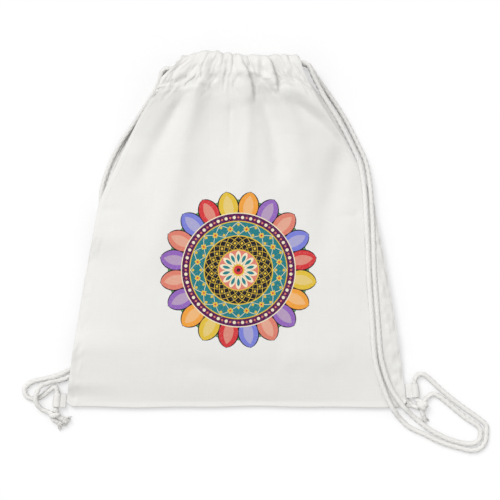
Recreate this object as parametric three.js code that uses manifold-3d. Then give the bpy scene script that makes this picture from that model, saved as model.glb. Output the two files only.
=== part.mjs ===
// Cotton drawstring bag with a round print, lying on its back and lightly filled.
// Millimetres. X runs across the bag, Y from the bottom seam to the mouth, Z up out of the front.
// The origin is on the face that the bag rests on, under its middle.
import * as THREE from "three";
import { mergeVertices } from "three/addons/utils/BufferGeometryUtils.js";
import Module from "manifold-3d";

const wasm = await Module();
wasm.setup();

// Cloth and seams
const canvas = 0.9;
const seamMargin = 3;
const seamGap = 0.3;
const seamHeight = 4;

// Outline of the bag, seen from the front
const bagWidth = 339;
const bottomY = -177.5;
const slitEndY = 24;
const slitEndWidth = 274;
const stitchY = 151;
const gatheredWidth = 140;
const lowerBow = 1.25;
const upperBow = 1.1;
const channelDraw = 0.72;

// How far the filling lifts the front
const crown = 20;
const crownY = 0;
const bottomFullness = 3;
const sideFullness = 0.55;
const footRoll = 40;
const footBlend = 20;
const mouthReach = 50;

// Channels, the folded hems that the cords run in
const channelHeight = 22;
const channelDepth = 9;
const pleats = 10;
const pleatDepth = 0.9;
const pleatReach = 62;
const stepsPerPleat = 4;
const channelSides = 10;
const channelSquareness = 0.75;
const channelLift = 0.8;
const hemOverlap = 3.5;
const panelRows = 20;
const rowCrowding = 1.15;
const seamEase = 0.12;

// Cords and the tunnels that hold them
const cordRadius = 2.5;
const cordSides = 8;
const cordPlay = 0.4;
const laneGap = 1;
const turnRadius = 9;
const turnProud = 1;
const notchWall = 0.5;
const faceGap = 0.3;
const exitLength = 2.2;
const straightStart = 2.4;
const tunnelSpare = 10;

// Sewn tabs at the two bottom corners
const tabWidth = 14;
const tabReach = 9;
const tabRise = 0.4;
const tabCloth = 1.0;
const tabPlay = 0.6;
const stemThickness = 2.2;
const leftTabY = -171;
const rightTabY = -161.5;
const stubLength = 2.5;
const cutSpare = 2;

// Knots and cut ends
const knotRadius = 5.2;
const wrapRadius = 3.3;
const wrapTube = 2.2;
const wrapTilt = 0.5;
const wrapTwist = 0.6;
const knotSides = 12;
const knotRings = 8;
const wrapSteps = 14;
const wrapSides = 7;
const knotLift = 5.6;
const frayLength = 5;
const frayRadius = 3.4;

// Print on the front
const printRadius = 70;
const printScallop = 4;
const printLobes = 12;
const printSpare = 12;
const printX = 2;
const printY = -38.5;
const inkThickness = 0.3;
const inkGap = 0.35;

// Values that follow from the sizes above
const laneOffset = cordRadius + laneGap / 2;
const tunnelWidth = 4 * cordRadius + laneGap + 2 * cordPlay;
const tunnelDepth = 2 * (cordRadius + cordPlay);
const channelY = stitchY + channelHeight / 2;
const rightLaneY = channelY + laneOffset;
const leftLaneY = channelY - laneOffset;
const backChannelZ = channelDepth / 2 + pleatDepth + channelLift;
const frontChannelZ = backChannelZ + 2 * turnRadius;
const bodyY = bottomY + seamMargin;
const panelTopY = stitchY + hemOverlap;
const columns = pleats * stepsPerPleat;

const canvasMaterial = new THREE.MeshStandardMaterial({ color: 0xebe9e4, roughness: 0.9, metalness: 0 });
const cordMaterial = new THREE.MeshStandardMaterial({ color: 0xf1efe9, roughness: 0.85, metalness: 0 });
const inkMaterial = new THREE.MeshStandardMaterial({ color: 0x2b6f72, roughness: 0.7, metalness: 0 });

// Small helpers for numbers
const mix = (a, b, t) => a + (b - a) * t;
const clamp = (t) => Math.min(1, Math.max(0, t));
const share = (y, from, to) => clamp((y - from) / (to - from));
const smooth = (t) => t * t * (3 - 2 * t);

// Value at y on straight lines through [y, value] pairs that run down the bag
function along(pairs, y) {
  const next = pairs.findIndex((pair) => pair[0] <= y);
  if (next === 0) return pairs[0][1];
  if (next < 0) return pairs[pairs.length - 1][1];
  const [y0, v0] = pairs[next - 1];
  const [y1, v1] = pairs[next];
  return mix(v0, v1, (y - y0) / (y1 - y0));
}

// Half the width of the bag at height y: two bowed sides, then the drawn-in channel
function halfWidth(y) {
  const foot = bagWidth / 2;
  const waist = slitEndWidth / 2;
  const neck = gatheredWidth / 2;
  if (y > stitchY) return neck - channelDraw * (y - stitchY);
  if (y > slitEndY) return mix(waist, neck, share(y, slitEndY, stitchY) ** upperBow);
  return mix(foot, waist, share(y, bottomY, slitEndY) ** lowerBow);
}

// The two left strands lie under the bag along this line, and the back panel humps over them
const hiddenLay = [
  [-128, 58],
  [-132, 32],
  [-126, 4],
  [-95, -30],
  [-52, -56],
  [-36, -76],
  [-52, -98],
  [-110, -124],
  [-178, -146],
];
const humpHeight = 7.2;
const humpFlat = 18;
const humpReach = 44;
const humpFootY = -168;
const humpFullY = -153;

// Distance in plan from a point to that line
function distanceToLay(x, y) {
  let nearest = Infinity;
  for (let i = 1; i < hiddenLay.length; i++) {
    const [x0, y0] = hiddenLay[i - 1];
    const [x1, y1] = hiddenLay[i];
    const [dx, dy] = [x1 - x0, y1 - y0];
    const t = clamp(((x - x0) * dx + (y - y0) * dy) / (dx * dx + dy * dy));
    nearest = Math.min(nearest, Math.hypot(x - x0 - t * dx, y - y0 - t * dy));
  }
  return nearest;
}

function hump(x, y) {
  const near = 1 - smooth(share(distanceToLay(x, y), humpFlat, humpReach));
  return humpHeight * near * smooth(share(y, humpFootY, humpFullY));
}

// Main folds of the front, each a ridge or a valley that runs down from the gathers.
// line gives x along y; width and height go from the fold's top to its end.
const folds = [
  { line: [[146, -56], [58, -96], [20, -108]], width: [7, 13], height: [-3.5, 0] },
  { line: [[146, -41], [56, -69], [-8, -95], [-70, -117]], width: [6, 20], height: [4, 2] },
  { line: [[140, -20], [70, -22], [40, -24]], width: [9, 14], height: [-2.5, 0] },
  { line: [[146, -6], [80, -5], [40, -4]], width: [6, 12], height: [3, 0] },
  { line: [[150, 10], [103, 20], [42, 33]], width: [4.5, 9], height: [-5, 0] },
  { line: [[148, 27], [110, 37], [45, 54]], width: [7, 14], height: [4, 0] },
  { line: [[152, 43], [138, 47], [125, 52]], width: [5, 8], height: [-5, -1] },
  { line: [[140, 48], [108, 86], [68, 118]], width: [7, 8], height: [2, 3] },
];

const foldFade = 30;
const foldStart = 12;

function foldHeight(x, y) {
  let height = 0;
  for (const { line, width, height: tall } of folds) {
    const [topY, endY] = [line[0][0], line[line.length - 1][0]];
    const t = share(y, topY, endY);
    const spread = mix(width[0], width[1], t);
    const fade = smooth(share(y, endY - foldFade, endY)) * smooth(1 - share(y, topY, topY + foldStart));
    height += fade * mix(tall[0], tall[1], t) * Math.exp(-(((x - along(line, y)) / spread) ** 2));
  }
  return height;
}

// Gathers: pleats that are deep at the channel and die out down the bag
const pleatWave = (s) => Math.cos(Math.PI * pleats * (s + 1)) * (0.8 + 0.2 * Math.sin(7 * s + 1));
const gather = (s, y) => pleatDepth * pleatWave(s) * smooth(share(y, stitchY - pleatReach, stitchY));

// Height of the front's outer face. s runs from -1 to 1 between the two seam margins.
function frontHeight(s, y) {
  const w = halfWidth(y) - seamMargin;
  const x = s * w;
  const open = smooth(share(y, slitEndY, stitchY));
  const mouth = frontChannelZ + canvas / 2;
  const lift = s * s * hump(Math.sign(s) * halfWidth(y), y);
  const seam = seamHeight + seamGap / 2 + canvas + lift;
  const edge = mix(seam, mouth, open);
  const rise = 1 - (1 - share(y, bodyY, crownY)) ** bottomFullness;
  const middle = mix(seamHeight + rise * crown, mouth, smooth(share(y, crownY, stitchY)));
  const across = Math.max(0, 1 - s * s) ** sideFullness;
  const inside = smooth(share(1 - Math.abs(s), 0, seamEase)) * smooth(share(y, bodyY, bodyY + footBlend));
  return edge + Math.max(0, middle - edge) * across + inside * foldHeight(x, y) + gather(s, y);
}

// Height of the back's outer face, which is the underside: flat where the bag rests
function backHeight(s, y) {
  const x = s * (halfWidth(y) - seamMargin);
  const mouth = backChannelZ - canvas / 2;
  const nearSide = Math.abs(s) ** 8;
  const nearBottom = (1 - share(y, bodyY, bodyY + footRoll)) ** 4;
  const rolled = 1 - (1 - nearSide) * (1 - nearBottom);
  const seam = (seamHeight - seamGap / 2 - canvas) * rolled;
  const open = smooth(share(y, stitchY - mouthReach, stitchY));
  return mix(seam + hump(Math.abs(s) === 1 ? Math.sign(s) * halfWidth(y) : x, y), mouth, open) + gather(s, y) * open;
}

const frontInside = (s, y) => frontHeight(s, y) - canvas;
const backInside = (s, y) => backHeight(s, y) + canvas;

// Closed slab between two height fields over a grid of [s, x, y] stations
function slab(stations, across, lower, upper) {
  const rows = stations.length / across;
  const positions = [];
  for (const height of [lower, upper]) {
    for (const [s, x, y] of stations) positions.push(x, y, height(s, y));
  }
  const count = stations.length;
  const index = [];
  const quad = (a, b, c, d) => index.push(a, b, c, a, c, d);
  const at = (i, j) => j * across + i;
  for (let j = 0; j < rows - 1; j++) {
    for (let i = 0; i < across - 1; i++) {
      const [a, b, c, d] = [at(i, j), at(i + 1, j), at(i + 1, j + 1), at(i, j + 1)];
      quad(count + a, count + b, count + c, count + d);
      quad(d, c, b, a);
    }
  }
  for (let i = 0; i < across - 1; i++) {
    quad(at(i, 0), at(i + 1, 0), count + at(i + 1, 0), count + at(i, 0));
    quad(at(i + 1, rows - 1), at(i, rows - 1), count + at(i, rows - 1), count + at(i + 1, rows - 1));
  }
  for (let j = 0; j < rows - 1; j++) {
    quad(at(0, j + 1), at(0, j), count + at(0, j), count + at(0, j + 1));
    quad(at(across - 1, j), at(across - 1, j + 1), count + at(across - 1, j + 1), count + at(across - 1, j));
  }
  const geometry = new THREE.BufferGeometry();
  geometry.setAttribute("position", new THREE.Float32BufferAttribute(positions, 3));
  geometry.setIndex(index);
  return geometry;
}

// Stations of a panel: a seam margin on each side, and rows that crowd a little at the bottom
function panelStations(cells, rows) {
  const stations = [];
  const heights = [bottomY];
  for (let j = 0; j <= rows; j++) heights.push(mix(bodyY, panelTopY, (j / rows) ** rowCrowding));
  for (const y of heights) {
    const w = halfWidth(y);
    stations.push([-1, -w, y]);
    for (let i = 0; i <= cells; i++) {
      const s = -1 + (2 * i) / cells;
      stations.push([s, s * (w - seamMargin), y]);
    }
    stations.push([1, w, y]);
  }
  return { stations, across: cells + 3 };
}

// Solids for joining and cutting, and back to geometry
function solid(geometry) {
  const bare = geometry.clone();
  bare.deleteAttribute("normal");
  bare.deleteAttribute("uv");
  const merged = mergeVertices(bare, 1e-4);
  return new wasm.Manifold(
    new wasm.Mesh({
      numProp: 3,
      vertProperties: new Float32Array(merged.attributes.position.array),
      triVerts: new Uint32Array(merged.index.array),
    }),
  );
}

function geometryOf(body) {
  const mesh = body.getMesh();
  const geometry = new THREE.BufferGeometry();
  geometry.setAttribute("position", new THREE.BufferAttribute(mesh.vertProperties, 3));
  geometry.setIndex(new THREE.BufferAttribute(mesh.triVerts, 1));
  return geometry;
}

// Channel: the hem folded over into a flat sleeve, puckered where the cords gather it
function channelGeometry(centreZ) {
  const positions = [];
  const index = [];
  for (let i = 0; i <= columns; i++) {
    const s = -1 + (2 * i) / columns;
    const pucker = pleatWave(s) * pleatDepth;
    for (let k = 0; k < channelSides; k++) {
      const angle = (2 * Math.PI * k) / channelSides;
      const [c, q] = [Math.cos(angle), Math.sin(angle)];
      const y = channelY + Math.sign(c) * Math.abs(c) ** channelSquareness * (channelHeight / 2 + 0.5 * pucker);
      const depth = channelDepth / 2 + Math.sign(q) * pucker;
      const z = centreZ + Math.sign(q) * Math.abs(q) ** channelSquareness * depth;
      positions.push(s * halfWidth(y), y, z);
    }
  }
  const ring = (i, k) => i * channelSides + (k % channelSides);
  for (let i = 0; i < columns; i++) {
    for (let k = 0; k < channelSides; k++) {
      const [a, b, c, d] = [ring(i, k), ring(i, k + 1), ring(i + 1, k + 1), ring(i + 1, k)];
      index.push(a, b, c, a, c, d);
    }
  }
  for (let k = 1; k < channelSides - 1; k++) {
    index.push(ring(0, 0), ring(0, k + 1), ring(0, k));
    index.push(ring(columns, 0), ring(columns, k), ring(columns, k + 1));
  }
  const geometry = new THREE.BufferGeometry();
  geometry.setAttribute("position", new THREE.Float32BufferAttribute(positions, 3));
  geometry.setIndex(index);
  return geometry;
}

// Tunnel: the space inside a channel for two cords side by side
function tunnelGeometry(centreZ) {
  const half = tunnelWidth / 2 - tunnelDepth / 2;
  const shape = new THREE.Shape();
  shape.absarc(half, 0, tunnelDepth / 2, -Math.PI / 2, Math.PI / 2, false);
  shape.absarc(-half, 0, tunnelDepth / 2, Math.PI / 2, (3 * Math.PI) / 2, false);
  const length = gatheredWidth + 2 * tunnelSpare;
  const geometry = new THREE.ExtrudeGeometry(shape, { depth: length, bevelEnabled: false, curveSegments: 4 });
  geometry.rotateY(Math.PI / 2);
  geometry.rotateX(Math.PI / 2);
  geometry.translate(-length / 2, channelY, centreZ);
  return geometry;
}

// Notch in a channel's inner wall at one end, where a turning cord pulls the hem back.
// inward is 1 where the other channel lies above and -1 where it lies below.
function notchGeometry(side, laneY, centreZ, inward) {
  const length = turnRadius + cordRadius + turnProud + notchWall;
  const width = 2 * (cordRadius + cordPlay);
  const box = new THREE.BoxGeometry(2 * length, width, channelDepth);
  box.translate(side * (halfWidth(laneY) + turnProud + notchWall), laneY, centreZ + (inward * channelDepth) / 2);
  return box;
}

function panel(name, cells, rows, lower, upper, centreZ, inward) {
  const { stations, across } = panelStations(cells, rows);
  const sheet = solid(slab(stations, across, lower, upper));
  const sleeve = solid(channelGeometry(centreZ));
  let body = sheet.add(sleeve).subtract(solid(tunnelGeometry(centreZ)));
  body = body.subtract(solid(notchGeometry(-1, rightLaneY, centreZ, inward)));
  body = body.subtract(solid(notchGeometry(1, leftLaneY, centreZ, inward)));
  const mesh = new THREE.Mesh(geometryOf(body), canvasMaterial);
  mesh.name = name;
  return mesh;
}

// Print: a thin scalloped disc of ink that follows the front just above the cloth
function printFilm() {
  const { stations, across } = panelStations(columns, panelRows);
  const edge = printRadius + printScallop + printSpare;
  const near = (y) => Math.abs(y - printY) < edge;
  const rows = stations.filter((station) => near(station[2]));
  const lower = (s, y) => frontHeight(s, y) + inkGap;
  const upper = (s, y) => lower(s, y) + inkThickness;
  const outline = [];
  const steps = printLobes * 4;
  for (let i = 0; i < steps; i++) {
    const angle = (2 * Math.PI * i) / steps;
    const r = printRadius + printScallop * Math.cos(printLobes * angle);
    outline.push(new THREE.Vector2(printX + r * Math.cos(angle), printY + r * Math.sin(angle)));
  }
  const prism = new THREE.ExtrudeGeometry(new THREE.Shape(outline), { depth: 4 * crown, bevelEnabled: false });
  const body = solid(slab(rows, across, lower, upper)).intersect(solid(prism));
  const mesh = new THREE.Mesh(geometryOf(body), inkMaterial);
  mesh.name = "print_film";
  return mesh;
}

// A cord's lay, with one ring of the tube at each chosen point
class Lay extends THREE.CatmullRomCurve3 {
  getPointAt(u, target) {
    return this.getPoint(u, target);
  }
  getTangentAt(u, target) {
    return this.getTangent(u, target);
  }
  getSpacedPoints(divisions) {
    return this.getPoints(divisions);
  }
}

function cordGeometry(points) {
  const lay = new Lay(points.map((p) => (p.isVector3 ? p : new THREE.Vector3(...p))), false, "centripetal");
  const ring = [];
  for (let k = 0; k < cordSides; k++) {
    const angle = (2 * Math.PI * (k + 0.5)) / cordSides;
    ring.push(new THREE.Vector2(cordRadius * Math.cos(angle), cordRadius * Math.sin(angle)));
  }
  return new THREE.ExtrudeGeometry(new THREE.Shape(ring), { steps: points.length - 1, extrudePath: lay });
}

function cord(name, points) {
  const mesh = new THREE.Mesh(cordGeometry(points), cordMaterial);
  mesh.name = name;
  return mesh;
}

// The stretch of a cord inside both channels, with its turn from one to the other.
// exitSide is 1 where the two strands leave on the right and -1 on the left.
function cordInChannels(name, exitSide, laneY) {
  const exitX = exitSide * (halfWidth(laneY) + exitLength);
  const turnX = -exitSide * (halfWidth(laneY) + turnProud - cordRadius - turnRadius);
  const lane = [];
  const middleZ = (frontChannelZ + backChannelZ) / 2;
  const turnSteps = 8;
  const approachX = turnX + exitSide * straightStart;
  for (const x of [exitX, 0, approachX, turnX]) lane.push([x, laneY, frontChannelZ]);
  for (let i = 1; i < turnSteps; i++) {
    const angle = (Math.PI * i) / turnSteps;
    const out = turnRadius * Math.sin(angle);
    lane.push([turnX - exitSide * out, laneY, middleZ + turnRadius * Math.cos(angle)]);
  }
  for (const x of [turnX, approachX, 0, exitX]) lane.push([x, laneY, backChannelZ]);
  return cord(name, lane);
}

const rightExitX = halfWidth(rightLaneY) + exitLength + faceGap;
const leftExitX = -(halfWidth(leftLaneY) + exitLength + faceGap);

// Free strands of the right cord: down the right side, over the corner, out to the far turn
const rightFrontStrand = [
  [rightExitX, rightLaneY, frontChannelZ],
  [66, rightLaneY, frontChannelZ],
  [71.5, 162.5, 24.2],
  [76.5, 152, 22.8],
  [85.5, 135, 19.5],
  [101, 110, 14.5],
  [117, 79.5, 10.2],
  [123, 66, 9.5],
  [127, 44.5, 10.3],
  [129, 15.5, 13.7],
  [130.5, -12.5, 14.8],
  [131.7, -46.5, 15.9],
  [134.2, -80.5, 15.8],
  [135.5, -99.5, 15.3],
  [137.8, -128.5, 13.4],
  [140.5, -140.5, 12.1],
  [144.2, -152.1, 10.7],
  [151.5, -170.5, 8.8],
  [157.3, -181, 7.4],
  [163, -188.3, 3.6],
  [172.1, -197.1, 2.7],
  [188.3, -204.8, 2.7],
  [202.7, -212, 2.7],
  [222.5, -218.2, 2.7],
  [234.5, -220.8, 2.7],
  [242, -219.4, 2.7],
  [247.3, -214.7, 2.7],
  [249.5, -208.2, 2.7],
  [249.7, -204.4, 2.7],
];
const rightBackStrand = [
  [rightExitX, rightLaneY, backChannelZ],
  [66, rightLaneY, backChannelZ],
  [72, 163, 6],
  [79, 153, 5.4],
  [90.5, 137, 4.6],
  [106.5, 113, 4],
  [122.4, 82, 3.8],
  [128.6, 68, 4.4],
  [133, 44.5, 7.4],
  [135, 16, 9.6],
  [136.3, -12.5, 12.7],
  [137.4, -46.5, 14.2],
  [140, -80.5, 14.5],
  [141.4, -99.5, 14.1],
  [143.9, -127.5, 12.6],
  [146.9, -139.5, 11.5],
  [151.1, -152, 10.1],
  [156.5, -163, 8.8],
  [162.6, -171.8, 8.5],
  [168.2, -178.9, 7.5],
  [172.7, -183.2, 4.6],
  [179.5, -189.3, 2.7],
  [191.9, -199, 2.7],
  [209.9, -208.6, 2.7],
  [228, -213.8, 2.7],
  [236, -213.9, 2.7],
  [241, -211.5, 2.7],
  [243.4, -207.8, 2.7],
  [243.7, -204.4, 2.7],
];

// Free strands of the left cord: down the left side, under the bag, out past the corner
const leftFrontStrand = [
  [leftExitX, leftLaneY, frontChannelZ],
  [-70, leftLaneY, frontChannelZ],
  [-74.5, 155.5, 24],
  [-77.5, 149, 22.8],
  [-82, 139, 20.8],
  [-92.5, 121, 16],
  [-102.5, 104.5, 11.5],
  [-116, 85, 7],
  [-127.3, 62, 3.4],
  [-134.5, 37, 2.7],
  [-133.5, 12, 2.7],
  [-122, -11, 2.7],
  [-97, -33, 2.7],
  [-56, -58, 2.7],
  [-43, -75, 2.7],
  [-56, -93, 2.7],
  [-111, -119, 2.7],
  [-162, -137.5, 2.7],
  [-170.5, -142.3, 2.7],
  [-180.5, -146.5, 2.7],
  [-191.5, -149.2, 2.7],
  [-201, -151.3, 2.7],
  [-206.3, -153.6, 2.7],
  [-208.8, -155.8, 2.7],
];
const leftBackStrand = [
  [leftExitX, leftLaneY, backChannelZ],
  [-70, leftLaneY, backChannelZ],
  [-74.5, 155.3, 5.8],
  [-77, 149, 4.8],
  [-81, 139, 3.6],
  [-92, 120.5, 2.7],
  [-101.5, 103.5, 2.7],
  [-111.5, 83, 2.7],
  [-122, 60, 2.7],
  [-129, 37, 2.7],
  [-127.5, 14, 2.7],
  [-117.5, -7, 2.7],
  [-93.5, -27.5, 2.7],
  [-50, -54, 2.7],
  [-36.5, -75, 2.7],
  [-50.5, -98, 2.7],
  [-108.5, -125, 2.7],
  [-160.5, -144, 2.7],
  [-169.5, -148.5, 2.7],
  [-178.5, -151.3, 3.6],
  [-186, -152.6, 6.6],
  [-192.5, -155, 8.8],
];

// Tabs: each is placed by its hinge line at the side seam, and leans with the bag's side
function tabPlace(side, y) {
  const place = new THREE.Group();
  const root = halfWidth(y) + faceGap + stemThickness / 2;
  const lean = Math.atan((halfWidth(y + 1) - halfWidth(y - 1)) / 2);
  place.position.set(side * root, y, seamHeight);
  place.rotation.z = side > 0 ? -lean : Math.PI + lean;
  place.updateMatrixWorld();
  return place;
}

const rightTabPlace = tabPlace(1, rightTabY);
const leftTabPlace = tabPlace(-1, leftTabY);

// A point at a tab: out from the seam, towards the mouth, and up from the hinge line
function atTab(side, out, up, toMouth) {
  const place = side > 0 ? rightTabPlace : leftTabPlace;
  return place.localToWorld(new THREE.Vector3(out, side * toMouth, up));
}

function extruded(shape, depth) {
  const geometry = new THREE.ExtrudeGeometry(shape, { depth, bevelEnabled: false, curveSegments: 8 });
  geometry.rotateX(Math.PI / 2);
  geometry.translate(0, depth / 2, 0);
  return geometry;
}

// A strip of canvas folded round the cord, its two ends sewn into the side seam
function tab(name, place) {
  const bore = cordRadius + tabPlay;
  const disc = (r) => new THREE.Shape().absarc(tabReach, tabRise, r, 0, 2 * Math.PI, false);
  const stem = new THREE.Shape();
  stem.absarc(0, 0, stemThickness / 2, Math.PI / 2, (3 * Math.PI) / 2, false);
  stem.lineTo(tabReach, -stemThickness / 2);
  stem.lineTo(tabReach, stemThickness / 2);
  const loop = solid(extruded(disc(bore + tabCloth), tabWidth));
  const body = loop.add(solid(extruded(stem, tabWidth))).subtract(solid(extruded(disc(bore), tabWidth + 2 * cutSpare)));
  const mesh = new THREE.Mesh(geometryOf(body), canvasMaterial);
  mesh.name = name;
  mesh.position.copy(place.position);
  mesh.rotation.copy(place.rotation);
  return mesh;
}

// Where each strand enters its tab or its knot, and where the knot and its cut ends lie
const rightKnot = {
  side: 1,
  centre: [184.9, -176.4, knotLift],
  entry: [188.6, -169.6, 4.2],
  tails: [
    [174.4, -175.6, 3.7],
    [186.6, -187.2, 3.7],
  ],
};
const leftKnot = {
  side: -1,
  centre: [-181.6, -184.9, knotLift],
  entry: [-188.3, -182.3, 4],
  tails: [
    [-177.6, -194.2, 3.8],
    [-171.6, -190.2, 4.2],
  ],
};

const vector = (p) => new THREE.Vector3(...p);
const beyond = (from, to, distance) => to.clone().add(to.clone().sub(from).normalize().multiplyScalar(distance));

// Tail: a short stretch of cord whose cut end has frayed out into a brush
function tailSolid(from, to) {
  const way = to.clone().sub(from).normalize();
  const brush = new THREE.CylinderGeometry(frayRadius, cordRadius, frayLength, 2 * cordSides, 1);
  brush.scale(1, 1, 0.8);
  brush.applyQuaternion(new THREE.Quaternion().setFromUnitVectors(new THREE.Vector3(0, 1, 0), way));
  const at = to.clone().add(way.clone().multiplyScalar(-frayLength / 2));
  brush.translate(at.x, at.y, at.z);
  return solid(cordGeometry([from, from.clone().lerp(to, 0.5), to])).add(solid(brush));
}

// Knot: the strand out of the tab and the strand beside it, wrapped round each other
function knot(name, { side, centre, entry, tails }) {
  const middle = vector(centre);
  const top = atTab(side, tabReach, tabRise, tabWidth / 2 + stubLength);
  const foot = atTab(side, tabReach, tabRise, -tabWidth / 2 - 1);
  let body = solid(new THREE.SphereGeometry(knotRadius, knotSides, knotRings).translate(...centre));
  for (const tilt of [-1, 1]) {
    const wrap = new THREE.TorusGeometry(wrapRadius, wrapTube, wrapSides, wrapSteps);
    wrap.rotateX(Math.PI / 2 + wrapTilt * tilt);
    wrap.rotateZ(wrapTwist * tilt);
    wrap.translate(centre[0], centre[1] + tilt, centre[2]);
    body = body.add(solid(wrap));
  }
  body = body.add(solid(cordGeometry([top, atTab(side, tabReach, tabRise, 0), foot, middle])));
  body = body.add(solid(cordGeometry([middle, vector(entry)])));
  for (const tail of tails) body = body.add(tailSolid(middle, vector(tail)));
  const mesh = new THREE.Mesh(geometryOf(body), cordMaterial);
  mesh.name = name;
  return mesh;
}

// Last stretch of each strand, from the far turn back to the tab or the knot
function ending(side) {
  const top = atTab(side, tabReach, tabRise, tabWidth / 2 + stubLength);
  const under = atTab(side, tabReach, tabRise, tabWidth / 2);
  return [beyond(under, top, 3.2), beyond(under, top, faceGap)];
}

function intoKnot({ centre, entry }) {
  const [middle, end] = [vector(centre), vector(entry)];
  return [beyond(middle, end, 3.2), beyond(middle, end, faceGap)];
}

// The first two points of a return, which carries on in line from the end of its strand
function onFrom(strand) {
  const [before, end] = strand.slice(-2).map(vector);
  return [beyond(before, end, faceGap), beyond(before, end, faceGap + straightStart)];
}

const rightFrontReturn = [
  ...onFrom(rightFrontStrand),
  [249.2, -195.4, 2.7],
  [242.5, -189.2, 2.7],
  [226.2, -177.5, 2.7],
  [212.8, -167.2, 2.7],
  [200.2, -156.2, 2.8],
  [192.4, -148.9, 3.2],
  [186, -144.6, 3.8],
  [181, -145.4, 4.2],
  ...ending(1),
];
const rightBackReturn = [
  ...onFrom(rightBackStrand),
  [242.4, -197.8, 2.7],
  [237.5, -193.8, 2.7],
  [229.6, -188.6, 2.7],
  [217.4, -178.8, 2.7],
  [208.8, -171.6, 2.7],
  [202.4, -166.8, 2.7],
  [196, -164.4, 3],
  ...intoKnot(rightKnot),
];
const leftFrontReturn = [
  ...onFrom(leftFrontStrand),
  [-211.6, -162.6, 2.7],
  [-208.4, -167.6, 2.7],
  [-201, -169.2, 2.7],
  [-193.8, -166.3, 2.7],
  [-187.5, -161, 3.2],
  [-181.5, -157.4, 4.2],
  ...ending(-1),
];
const leftBackReturn = [
  ...onFrom(leftBackStrand),
  [-200.4, -167.5, 8.6],
  [-199, -174, 7],
  [-194.5, -179.3, 4.6],
  ...intoKnot(leftKnot),
];

const bag = new THREE.Group();
bag.add(
  panel("front_panel", columns, panelRows, frontInside, frontHeight, frontChannelZ, -1),
  panel("back_panel", columns / 2, panelRows, backHeight, backInside, backChannelZ, 1),
  printFilm(),
  tab("left_tab", leftTabPlace),
  tab("right_tab", rightTabPlace),
  cordInChannels("right_cord_in_channels", 1, rightLaneY),
  cordInChannels("left_cord_in_channels", -1, leftLaneY),
  cord("right_cord_front_strand", rightFrontStrand),
  cord("right_cord_back_strand", rightBackStrand),
  cord("right_cord_front_return", rightFrontReturn),
  cord("right_cord_back_return", rightBackReturn),
  cord("left_cord_front_strand", leftFrontStrand),
  cord("left_cord_back_strand", leftBackStrand),
  cord("left_cord_front_return", leftFrontReturn),
  cord("left_cord_back_return", leftBackReturn),
  knot("right_knot", rightKnot),
  knot("left_knot", leftKnot),
);

export default bag;
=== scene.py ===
# %% [markdown]
# # A cotton drawstring bag, seen from straight above
# The bag lies on its back on a white table. It is a flat sack of canvas, drawn together at the
# top by two cords that run through a hem in front and a hem behind. Each cord leaves the hems
# as a pair of strands, runs down one side of the bag, and is knotted through a folded tab at
# the bottom corner, so that the strands are the straps of a small rucksack.
#
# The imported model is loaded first. Its solids say where everything is, and the pieces made
# here lie over them or take their place.

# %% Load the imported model
import math

import bmesh
import bpy
import numpy as np
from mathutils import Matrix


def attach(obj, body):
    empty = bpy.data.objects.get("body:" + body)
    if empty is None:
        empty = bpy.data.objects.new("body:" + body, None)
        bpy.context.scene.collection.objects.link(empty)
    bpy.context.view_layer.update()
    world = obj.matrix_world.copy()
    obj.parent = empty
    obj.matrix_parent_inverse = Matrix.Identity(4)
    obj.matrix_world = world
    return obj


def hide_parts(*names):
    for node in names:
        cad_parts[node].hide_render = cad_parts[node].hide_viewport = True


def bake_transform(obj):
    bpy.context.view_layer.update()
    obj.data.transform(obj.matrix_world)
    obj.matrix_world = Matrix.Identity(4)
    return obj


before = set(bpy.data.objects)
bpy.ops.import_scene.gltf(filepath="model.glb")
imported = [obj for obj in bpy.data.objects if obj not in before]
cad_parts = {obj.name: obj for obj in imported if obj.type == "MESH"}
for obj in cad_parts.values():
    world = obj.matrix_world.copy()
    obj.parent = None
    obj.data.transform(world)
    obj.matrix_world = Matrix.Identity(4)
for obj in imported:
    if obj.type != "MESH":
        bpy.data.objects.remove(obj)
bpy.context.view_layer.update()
scene = bpy.context.scene
MM = 0.001

# %% [markdown]
# ## Camera, table and light
# A photograph from straight above has the camera high over the table. A long lens at almost
# three metres keeps the bag's outline true. The table is one pale sheet. Its own light is added
# only where the camera or a reflection sees it, so that it looks white and still keeps shadows.

# %% Camera
VIEW_CENTRE = (13.5 * MM, -20.5 * MM)
VIEW_WIDTH = 500 * MM
LENS = 200
SENSOR = 36

camera = bpy.data.objects.new("camera", bpy.data.cameras.new("camera"))
scene.collection.objects.link(camera)
camera.data.lens = LENS
camera.data.sensor_width = SENSOR
camera.location = (*VIEW_CENTRE, VIEW_WIDTH * LENS / SENSOR)
scene.camera = camera
print("camera height", round(camera.location.z, 3))


# %% Shader maths: a socket that can be used in sums
def operator(operation, reflected=False):
    """A method that adds a Math node. Where it is reflected, its own value comes last."""

    def method(self, *others):
        values = (*others, self) if reflected else (self, *others)
        settings = {"operation": operation}
        return self.shade.node("ShaderNodeMath", settings, dict(enumerate(values)))[0]

    return method


class Value:
    """A socket that adds Math nodes when it is used in an expression."""

    def __init__(self, shade, socket):
        self.shade = shade
        self.socket = socket

    def math(self, operation, *others):
        return operator(operation)(self, *others)

    __add__ = __radd__ = operator("ADD")
    __sub__ = operator("SUBTRACT")
    __rsub__ = operator("SUBTRACT", reflected=True)
    __mul__ = __rmul__ = operator("MULTIPLY")
    __truediv__ = operator("DIVIDE")
    __rtruediv__ = operator("DIVIDE", reflected=True)
    __pow__ = operator("POWER")
    __abs__ = operator("ABSOLUTE")
    __gt__ = operator("GREATER_THAN")
    __lt__ = operator("LESS_THAN")


# %% A maker of nodes
# Places of a Mix node's sockets for colours
COLOUR_A, COLOUR_B, MIXED_COLOUR = 6, 7, 2


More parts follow.
